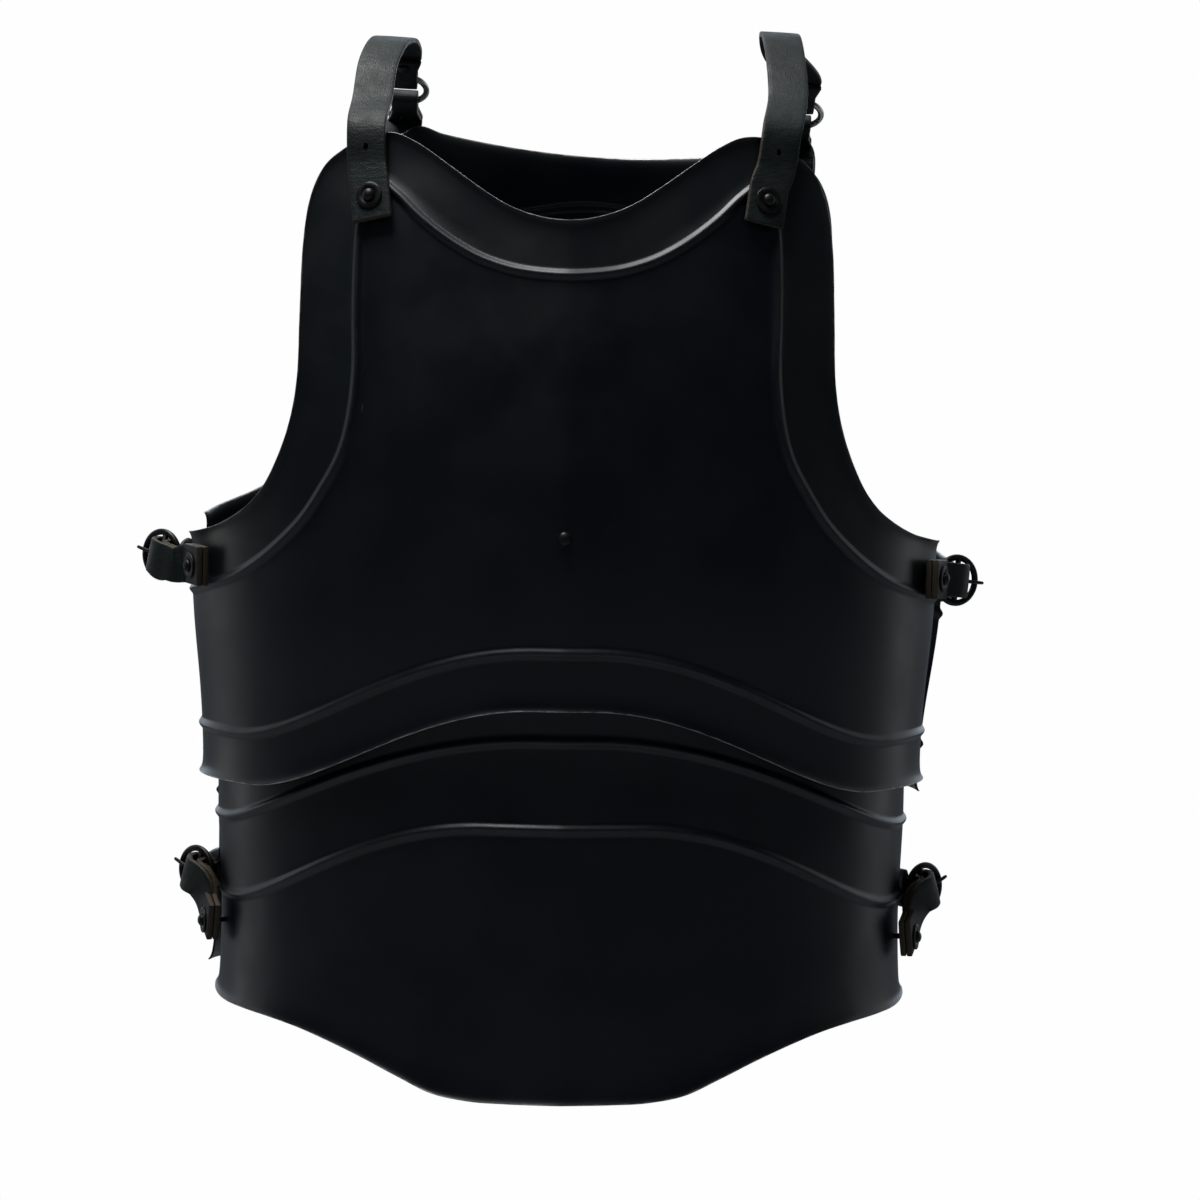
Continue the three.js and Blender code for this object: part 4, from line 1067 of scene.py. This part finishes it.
# %% Hang both shoulders
nickel_pieces = []
for label, mirror in (("left", -1), ("right", 1)):
    centre = Vector((mirror * shoulder_ring_place.x, shoulder_ring_place.y, shoulder_ring_place.z))
    to_tab = Vector((0, math.cos(shoulder_tilt), -math.sin(shoulder_tilt)))
    over_ring = Vector((0, math.sin(shoulder_tilt), math.cos(shoulder_tilt)))
    spot = back_hang @ ring_frame(centre, to_tab, over_ring)
    ring_way = way_in_frame(spot, 0, -1, 0)
    out_way = way_in_frame(spot, 0, 0, 1)
    nickel_pieces.append(ring(f"{label}_shoulder_ring", spot, False, "nickel"))

    def rim_marks(thickness, way):
        marks = []
        for u, n in rim_loop(thickness):
            width = loop_end_width if u > closing_reach else hook_width
            lie = out_way if u > loop_flat else None
            marks.append(mark(in_frame(spot, way * u, n), ring_way, width, lie))
        return marks

    tab_place = place_on("back_upper", mirror * back_tab_seat[0], back_tab_seat[1])
    tab_lift = lift_over(tab_place, tab_width / 2, tab_thickness)
    tab_way = -tab_place["round"]
    brow = place_on("back_upper", mirror * back_tab_seat[0], tab_brow_down)
    brow_lift = lift_over(brow, tab_width / 2, tab_thickness)

    def back_layer(step):
        marks = []
        for reach in (-tab_end_reach, flat_reach):
            point = shifted(tab_place, tab_place["up"], reach, tab_lift + step)
            marks.append(mark(point, tab_way, tab_width, tab_place["normal"]))
        marks.append(mark(shifted(brow, brow["up"], 0, brow_lift + step), tab_way, tab_width))
        return marks

    tab_marks = back_layer(layer_step) + rim_marks(tab_thickness, 1) + back_layer(0)[::-1]
    leather_pieces.append(leather(f"{label}_shoulder_tab", tab_marks, tab_thickness))
    tab_top = tab_lift + layer_step + tab_thickness / 2 + seat_gap
    iron_pieces.append(add_rivet(f"{label}_shoulder_tab_rivet", tab_place, tab_top))
    iron_pieces.append(closing_rivet(
        f"{label}_closing_rivet", in_frame(spot, closing_reach, 0), out_way, tab_thickness))

    strap_place = place_on("front_upper", mirror * strap_seat[0], strap_seat[1])
    strap_place = leaning(strap_place, strap_leans[label])
    strap_lift = lift_over(strap_place, strap_end_reach, strap_thickness)
    strap_marks = [
        mark(shifted(strap_place, strap_place["up"], reach, strap_lift),
             strap_place["round"], strap_width, strap_place["normal"])
        for reach in (-strap_end_reach, flat_reach)
    ]
    for turn, down in strap_lays[label]:
        lay = place_on("front_upper", mirror * turn, down)
        lay_lift = lift_over(lay, strap_width / 2, strap_thickness)
        strap_marks.append(mark(shifted(lay, lay["up"], 0, lay_lift), lay["round"], strap_width))
    for across, behind, height in strap_runs[label]:
        strap_marks.append(mark(Vector((mirror * across, behind, height)) * MM, ring_way, strap_width))
    strap_marks += rim_marks(strap_thickness, -1)
    shoulder_strap = leather(f"{label}_shoulder_strap", strap_marks, strap_thickness)
    punch(shoulder_strap)
    leather_pieces.append(shoulder_strap)
    print(label, "shoulder strap has", len(shoulder_strap.data.polygons), "faces with its hole")
    strap_top_lift = strap_lift + strap_thickness / 2 + seat_gap
    iron_pieces.append(washer(f"{label}_shoulder_strap_washer", strap_place, strap_top_lift))
    iron_pieces.append(add_rivet(
        f"{label}_shoulder_strap_rivet", strap_place, strap_top_lift + washer_seat))
    iron_pieces.append(closing_rivet(
        f"{label}_fold_rivet", in_frame(spot, -closing_reach, 0), out_way, strap_thickness))

# %% [markdown]
# ## The centre rivets
# One rivet at the centre of each side holds the upper lame to the waist plate. Its tail lies against
# the inside of the waist plate and its head on the upper lame, so its grip is measured between them.

# %% Rivet the lames together
for label in ("front", "back"):
    outer = place_on(f"{label}_upper", 0, rivet_down)
    inner = place_on(f"{label}_lower", 0, rivet_down)
    drop = (inner["point"] - outer["point"]).dot(outer["normal"])
    bottom = drop + span_at(inner, rivet_tail)[1] - seat_gap
    grip = span_at(outer, centre_rivet_head)[0] + seat_gap - bottom
    foot = shifted(outer, outer["normal"], bottom, 0)
    iron_pieces.append(rivet(f"{label}_centre_rivet", foot, outer["normal"], grip, centre_rivet_head))
print("all pieces:", len(plates) + len(iron_pieces) + len(leather_pieces) + len(nickel_pieces))

# %% [markdown]
# ## Effects that several finishes share
# Uneven tone, fine grain and rubbed edges turn up on steel, iron and leather alike, each at its own
# scale; on the steel's bead crests the edge-wear group also paints a highlight. Each effect is one
# node group with named inputs, placed in every material that needs it.

# %% Write helpers for nodes
def feed(tree, socket, value):
    """Links a socket to another one, or sets its own value."""
    if isinstance(value, bpy.types.NodeSocket):
        tree.links.new(value, socket)
    else:
        socket.default_value = value


def math_node(tree, kind, a, b):
    node = tree.nodes.new("ShaderNodeMath")
    node.operation = kind
    feed(tree, node.inputs[0], a)
    feed(tree, node.inputs[1], b)
    return node.outputs[0]


def noise_node(tree, vector, scale, detail, roughness=0.5):
    node = tree.nodes.new("ShaderNodeTexNoise")
    entries = {"Vector": vector, "Scale": scale, "Detail": detail, "Roughness": roughness}
    for label, value in entries.items():
        feed(tree, node.inputs[label], value)
    return node.outputs["Fac"]


def mix_colour(tree, share, a, b):
    node = tree.nodes.new("ShaderNodeMix")
    node.data_type = "RGBA"
    for index, value in ((0, share), (6, a), (7, b)):
        feed(tree, node.inputs[index], value)
    return node.outputs[2]


def map_range(tree, value, from_low, from_high, to_low, to_high):
    node = tree.nodes.new("ShaderNodeMapRange")
    node.interpolation_type = "SMOOTHSTEP"
    entries = {
        "Value": value, "From Min": from_low, "From Max": from_high,
        "To Min": to_low, "To Max": to_high,
    }
    for label, entry in entries.items():
        feed(tree, node.inputs[label], entry)
    return node.outputs["Result"]


def shader_group(name, inputs, outputs):
    group = bpy.data.node_groups.new(name, "ShaderNodeTree")
    for label, kind, value in inputs:
        socket = group.interface.new_socket(name=label, in_out="INPUT", socket_type=kind)
        if value is not None:
            socket.default_value = value
    for label, kind in outputs:
        group.interface.new_socket(name=label, in_out="OUTPUT", socket_type=kind)
    return group, group.nodes.new("NodeGroupInput"), group.nodes.new("NodeGroupOutput")


# %% Build the shared node groups
FLOAT, COLOUR, VECTOR = "NodeSocketFloat", "NodeSocketColor", "NodeSocketVector"

uneven_tone, entry, leave = shader_group(
    "uneven_tone",
    [("Vector", VECTOR, None), ("Scale", FLOAT, 10), ("Low", FLOAT, 0), ("High", FLOAT, 1)],
    [("Value", FLOAT)],
)
cloud = noise_node(uneven_tone, entry.outputs["Vector"], entry.outputs["Scale"], 4)
tone = map_range(uneven_tone, cloud, 0.3, 0.7, entry.outputs["Low"], entry.outputs["High"])
uneven_tone.links.new(tone, leave.inputs["Value"])

surface_grain, entry, leave = shader_group(
    "surface_grain",
    [("Vector", VECTOR, None), ("Scale", FLOAT, 600), ("Pores", FLOAT, 0.5)],
    [("Height", FLOAT)],
)
fine = noise_node(surface_grain, entry.outputs["Vector"], entry.outputs["Scale"], 3, 0.6)
cells = surface_grain.nodes.new("ShaderNodeTexVoronoi")
surface_grain.links.new(entry.outputs["Vector"], cells.inputs["Vector"])
surface_grain.links.new(entry.outputs["Scale"], cells.inputs["Scale"])
pored = math_node(surface_grain, "MULTIPLY", cells.outputs["Distance"], entry.outputs["Pores"])
surface_grain.links.new(math_node(surface_grain, "ADD", fine, pored), leave.inputs["Height"])

# mixes a bare colour in near a line: rubbed wear on edges, and a painted highlight on the steel's bead
# crests
edge_wear_and_highlight, entry, leave = shader_group(
    "edge_wear_and_highlight",
    [("Vector", VECTOR, None), ("Distance", FLOAT, 10), ("Width", FLOAT, 1), ("Amount", FLOAT, 1),
     ("Color", COLOUR, (0, 0, 0, 1)), ("Bare", COLOUR, (1, 1, 1, 1))],
    [("Color", COLOUR), ("Mask", FLOAT)],
)
patches = noise_node(edge_wear_and_highlight, entry.outputs["Vector"], 140, 4, 0.6)
swing = map_range(edge_wear_and_highlight, patches, 0.3, 0.7, 0.35, 1.3)
reach = math_node(edge_wear_and_highlight, "MULTIPLY", entry.outputs["Width"], swing)
near = map_range(edge_wear_and_highlight, entry.outputs["Distance"], 0, reach, 1, 0)
mask = math_node(edge_wear_and_highlight, "MULTIPLY", near, entry.outputs["Amount"])
edge_wear_and_highlight.links.new(mask, leave.inputs["Mask"])
worn = mix_colour(edge_wear_and_highlight, mask, entry.outputs["Color"], entry.outputs["Bare"])
edge_wear_and_highlight.links.new(worn, leave.inputs["Color"])
print("shared groups:", [group.name for group in (uneven_tone, surface_grain, edge_wear_and_highlight)])


# %% Help a material use the groups
def new_finish(name):
    paint = bpy.data.materials.new(name)
    paint.use_nodes = True
    tree = paint.node_tree
    vector = tree.nodes.new("ShaderNodeTexCoord").outputs["Object"]
    return paint, tree, tree.nodes["Principled BSDF"], vector


def use_group(tree, group, **values):
    node = tree.nodes.new("ShaderNodeGroup")
    node.node_tree = group
    for label, value in values.items():
        feed(tree, node.inputs[label], value)
    return node


def stretched(tree, vector, scale):
    node = tree.nodes.new("ShaderNodeMapping")
    node.inputs["Scale"].default_value = scale
    tree.links.new(vector, node.inputs["Vector"])
    return node.outputs["Vector"]


def measured(tree, name):
    node = tree.nodes.new("ShaderNodeAttribute")
    node.attribute_name = name
    return node.outputs["Fac"]


def add_bump(tree, shader, height, strength, distance):
    bump = tree.nodes.new("ShaderNodeBump")
    bump.inputs["Strength"].default_value = strength
    bump.inputs["Distance"].default_value = distance
    tree.links.new(height, bump.inputs["Height"])
    tree.links.new(bump.outputs["Normal"], shader.inputs["Normal"])


# %% [markdown]
# ## Blackened steel
# The plates are steel that was blackened in oil: nearly black with a blue cast, satin rather than
# glossy. The borders between edge and bead carry a painted sheen, a lighter greenish grey in
# patches. Handling has rubbed the crests of the beads, and a painted highlight lightens them
# too; the cut edges show bare metal in a thin broken line. The distances from the edge and from
# the nearest bead were measured while the plates were raised, so the wear and the painted
# highlight follow them.

# %% Finish the steel
def steel_finish():
    paint, tree, shader, vector = new_finish("black_steel")
    streaks = stretched(tree, vector, (1, 1, 0.16))
    cloud = use_group(tree, uneven_tone, Vector=streaks, Scale=16, Low=0, High=1)
    body = mix_colour(tree, cloud.outputs["Value"], (0.0012, 0.002, 0.005, 1), (0.0024, 0.004, 0.0086, 1))
    # painted sheen: the border rows between edge and bead get a lighter greenish grey, in patches
    border_sheen_patches = use_group(tree, uneven_tone, Vector=vector, Scale=11, Low=0.35, High=1)
    border = math_node(tree, "MULTIPLY", measured(tree, "border"), border_sheen_patches.outputs["Value"])
    sheen_toned = mix_colour(tree, border, body, (0.0075, 0.0115, 0.0125, 1))
    # the bead crests: partly rubbed wear, partly a painted highlight, lighter near the crest line
    crest_wear_and_highlight = use_group(
        tree, edge_wear_and_highlight, Vector=vector, Distance=measured(tree, "bead"), Width=1.7, Amount=0.55,
        Color=sheen_toned, Bare=(0.02, 0.026, 0.03, 1))
    rim = use_group(
        tree, edge_wear_and_highlight, Vector=vector, Distance=measured(tree, "lip"), Width=0.75, Amount=0.9,
        Color=crest_wear_and_highlight.outputs["Color"], Bare=(0.42, 0.4, 0.39, 1))
    tree.links.new(rim.outputs["Color"], shader.inputs["Base Color"])
    satin = use_group(tree, uneven_tone, Vector=vector, Scale=24, Low=0.33, High=0.45)
    tree.links.new(satin.outputs["Value"], shader.inputs["Roughness"])
    tree.links.new(math_node(tree, "MULTIPLY", rim.outputs["Mask"], 0.8), shader.inputs["Metallic"])
    shader.inputs["Specular IOR Level"].default_value = 0.5
    grain = use_group(tree, surface_grain, Vector=vector, Scale=900, Pores=0.2)
    add_bump(tree, shader, grain.outputs["Height"], 0.06, 0.0004)
    return paint


black_steel = steel_finish()
print(black_steel.name, "has", len(black_steel.node_tree.nodes), "nodes")

# %% [markdown]
# ## Leather
# Strap leather is dyed on its face to a dark grey-green, and its cut edges stay tan and rough. The
# face has a fine grain over slow creases, and its dye is uneven. The distance from the edge was
# measured while each strip was swept, so the tan line follows every fold.

# %% Finish the leather
def leather_finish():
    paint, tree, shader, vector = new_finish("dark_leather")
    cloud = use_group(tree, uneven_tone, Vector=vector, Scale=30, Low=0, High=1)
    body = mix_colour(tree, cloud.outputs["Value"], (0.005, 0.009, 0.0085, 1), (0.0115, 0.018, 0.0175, 1))
    edge = use_group(
        tree, edge_wear_and_highlight, Vector=vector, Distance=measured(tree, "rim"), Width=0.42, Amount=0.8,
        Color=body, Bare=(0.075, 0.056, 0.034, 1))
    tree.links.new(edge.outputs["Color"], shader.inputs["Base Color"])
    rough = use_group(tree, uneven_tone, Vector=vector, Scale=90, Low=0.45, High=0.62)
    tree.links.new(rough.outputs["Value"], shader.inputs["Roughness"])
    shader.inputs["Specular IOR Level"].default_value = 0.3
    grain = use_group(tree, surface_grain, Vector=vector, Scale=1300, Pores=0.9)
    drawn_out = stretched(tree, vector, (1, 1, 3))
    creases = use_group(tree, surface_grain, Vector=drawn_out, Scale=170, Pores=0.6)
    deeper = math_node(tree, "MULTIPLY", creases.outputs["Height"], 1.6)
    add_bump(tree, shader, math_node(tree, "ADD", grain.outputs["Height"], deeper), 0.4, 0.0003)
    return paint


dark_leather = leather_finish()
print(dark_leather.name, "has", len(dark_leather.node_tree.nodes), "nodes")

# %% [markdown]
# ## Iron and nickel
# The side rings, tongues, washers and rivets are black iron, a shade browner and rougher than the
# plates. Only the two shoulder rings are bright: nickel plate, slightly dulled by fine scratches.

# %% Finish the iron and the nickel
def metal_finish(name, dark, light, low, high, metallic, scale, depth):
    paint, tree, shader, vector = new_finish(name)
    cloud = use_group(tree, uneven_tone, Vector=vector, Scale=60, Low=0, High=1)
    colour = mix_colour(tree, cloud.outputs["Value"], (*dark, 1), (*light, 1))
    tree.links.new(colour, shader.inputs["Base Color"])
    rough = use_group(tree, uneven_tone, Vector=vector, Scale=200, Low=low, High=high)
    tree.links.new(rough.outputs["Value"], shader.inputs["Roughness"])
    shader.inputs["Metallic"].default_value = metallic
    grain = use_group(tree, surface_grain, Vector=vector, Scale=scale, Pores=0.3)
    add_bump(tree, shader, grain.outputs["Height"], depth, 0.0003)
    return paint


black_iron = metal_finish(
    "black_iron", (0.004, 0.004, 0.005), (0.012, 0.0115, 0.011),
    low=0.3, high=0.5, metallic=0.4, scale=1100, depth=0.3)
nickel = metal_finish(
    "nickel", (0.5, 0.49, 0.46), (0.68, 0.67, 0.64),
    low=0.18, high=0.34, metallic=1, scale=1600, depth=0.08)

# %% Put the finishes on the pieces
finishes = (
    (plates.values(), black_steel),
    (leather_pieces, dark_leather),
    (iron_pieces, black_iron),
    (nickel_pieces, nickel),
)
for pieces, paint in finishes:
    for piece in pieces:
        piece.data.materials.append(paint)
    print(paint.name, "on", len(pieces), "pieces")

# %% [markdown]
# ## Light and floor
# Black metal shows only what it mirrors. One soft light hangs almost straight above, so whatever
# leans back shines and whatever stands upright stays dark. A weak light stands behind each side, and
# the backdrop glows for whatever mirrors it, which gives the pale edges. The camera itself sees a
# plain white room: a mix driven by Light Path shows it one shader and everything else another.

# %% Hang the lights
lights = [
    # name, place, aim, size, watts
    ("top_light", (-0.5, -0.14, 1.8), (0, 0, -0.25), (1.4, 0.8), 52),
    ("left_light", (-1.9, 0.7, 0), (0, 0, -0.3), (0.8, 1.8), 3.4),
    ("right_light", (1.9, 0.7, 0), (0, 0, -0.3), (0.8, 1.8), 2.8),
]
for name, place, aim, size, watts in lights:
    lamp = bpy.data.lights.new(name, "AREA")
    lamp.shape = "RECTANGLE"
    lamp.size, lamp.size_y = size
    lamp.energy = watts
    light = bpy.data.objects.new(name, lamp)
    bpy.context.scene.collection.objects.link(light)
    light.location = place
    light.rotation_mode = "QUATERNION"
    light.rotation_quaternion = (Vector(aim) - Vector(place)).to_track_quat("-Z", "Y")
print("lights:", len(lights))

# %% Set up the room
room_white = (0.99, 0.99, 0.99, 1)


def camera_sees(tree, shown, otherwise, surface):
    """Shows one shader to the camera and the other one to all other rays."""
    choose = tree.nodes.new("ShaderNodeMixShader")
    is_camera = tree.nodes.new("ShaderNodeLightPath").outputs["Is Camera Ray"]
    tree.links.new(is_camera, choose.inputs["Fac"])
    tree.links.new(otherwise, choose.inputs[1])
    tree.links.new(shown, choose.inputs[2])
    tree.links.new(choose.outputs["Shader"], surface)


world = bpy.data.worlds.new("studio")
bpy.context.scene.world = world
world.use_nodes = True
room = world.node_tree
room.nodes.clear()
white = room.nodes.new("ShaderNodeBackground")
white.inputs["Color"].default_value = room_white
dim = room.nodes.new("ShaderNodeBackground")
dim.inputs["Color"].default_value = (0.8, 0.9, 1, 1)
facing = room.nodes.new("ShaderNodeSeparateXYZ")
room.links.new(room.nodes.new("ShaderNodeTexCoord").outputs["Generated"], facing.inputs["Vector"])
backdrop = map_range(room, facing.outputs["Y"], 0.45, 0.95, 0.04, 1.5)
room.links.new(backdrop, dim.inputs["Strength"])
sky = room.nodes.new("ShaderNodeOutputWorld").inputs["Surface"]
camera_sees(room, white.outputs["Background"], dim.outputs["Background"], sky)
bpy.context.scene.view_settings.view_transform = "Standard"
print("the room is seen as", room_white[:3])

# %% Lay the floor
floor_level = -0.95
floor_shape = bmesh.new()
bmesh.ops.create_circle(floor_shape, cap_ends=True, radius=30, segments=96)
bmesh.ops.translate(floor_shape, vec=(0, 0, floor_level), verts=floor_shape.verts[:])
floor = object_from(floor_shape, "floor")
floor_paint = bpy.data.materials.new("pale_floor")
floor_paint.use_nodes = True
ground = floor_paint.node_tree
dull = ground.nodes["Principled BSDF"]
dull.inputs["Base Color"].default_value = (0.3, 0.31, 0.33, 1)
dull.inputs["Roughness"].default_value = 0.9
pale = ground.nodes.new("ShaderNodeEmission")
pale.inputs["Color"].default_value = room_white
top = ground.nodes["Material Output"].inputs["Surface"]
camera_sees(ground, pale.outputs["Emission"], dull.outputs["BSDF"], top)
floor.data.materials.append(floor_paint)
print("the floor lies at", floor_level)
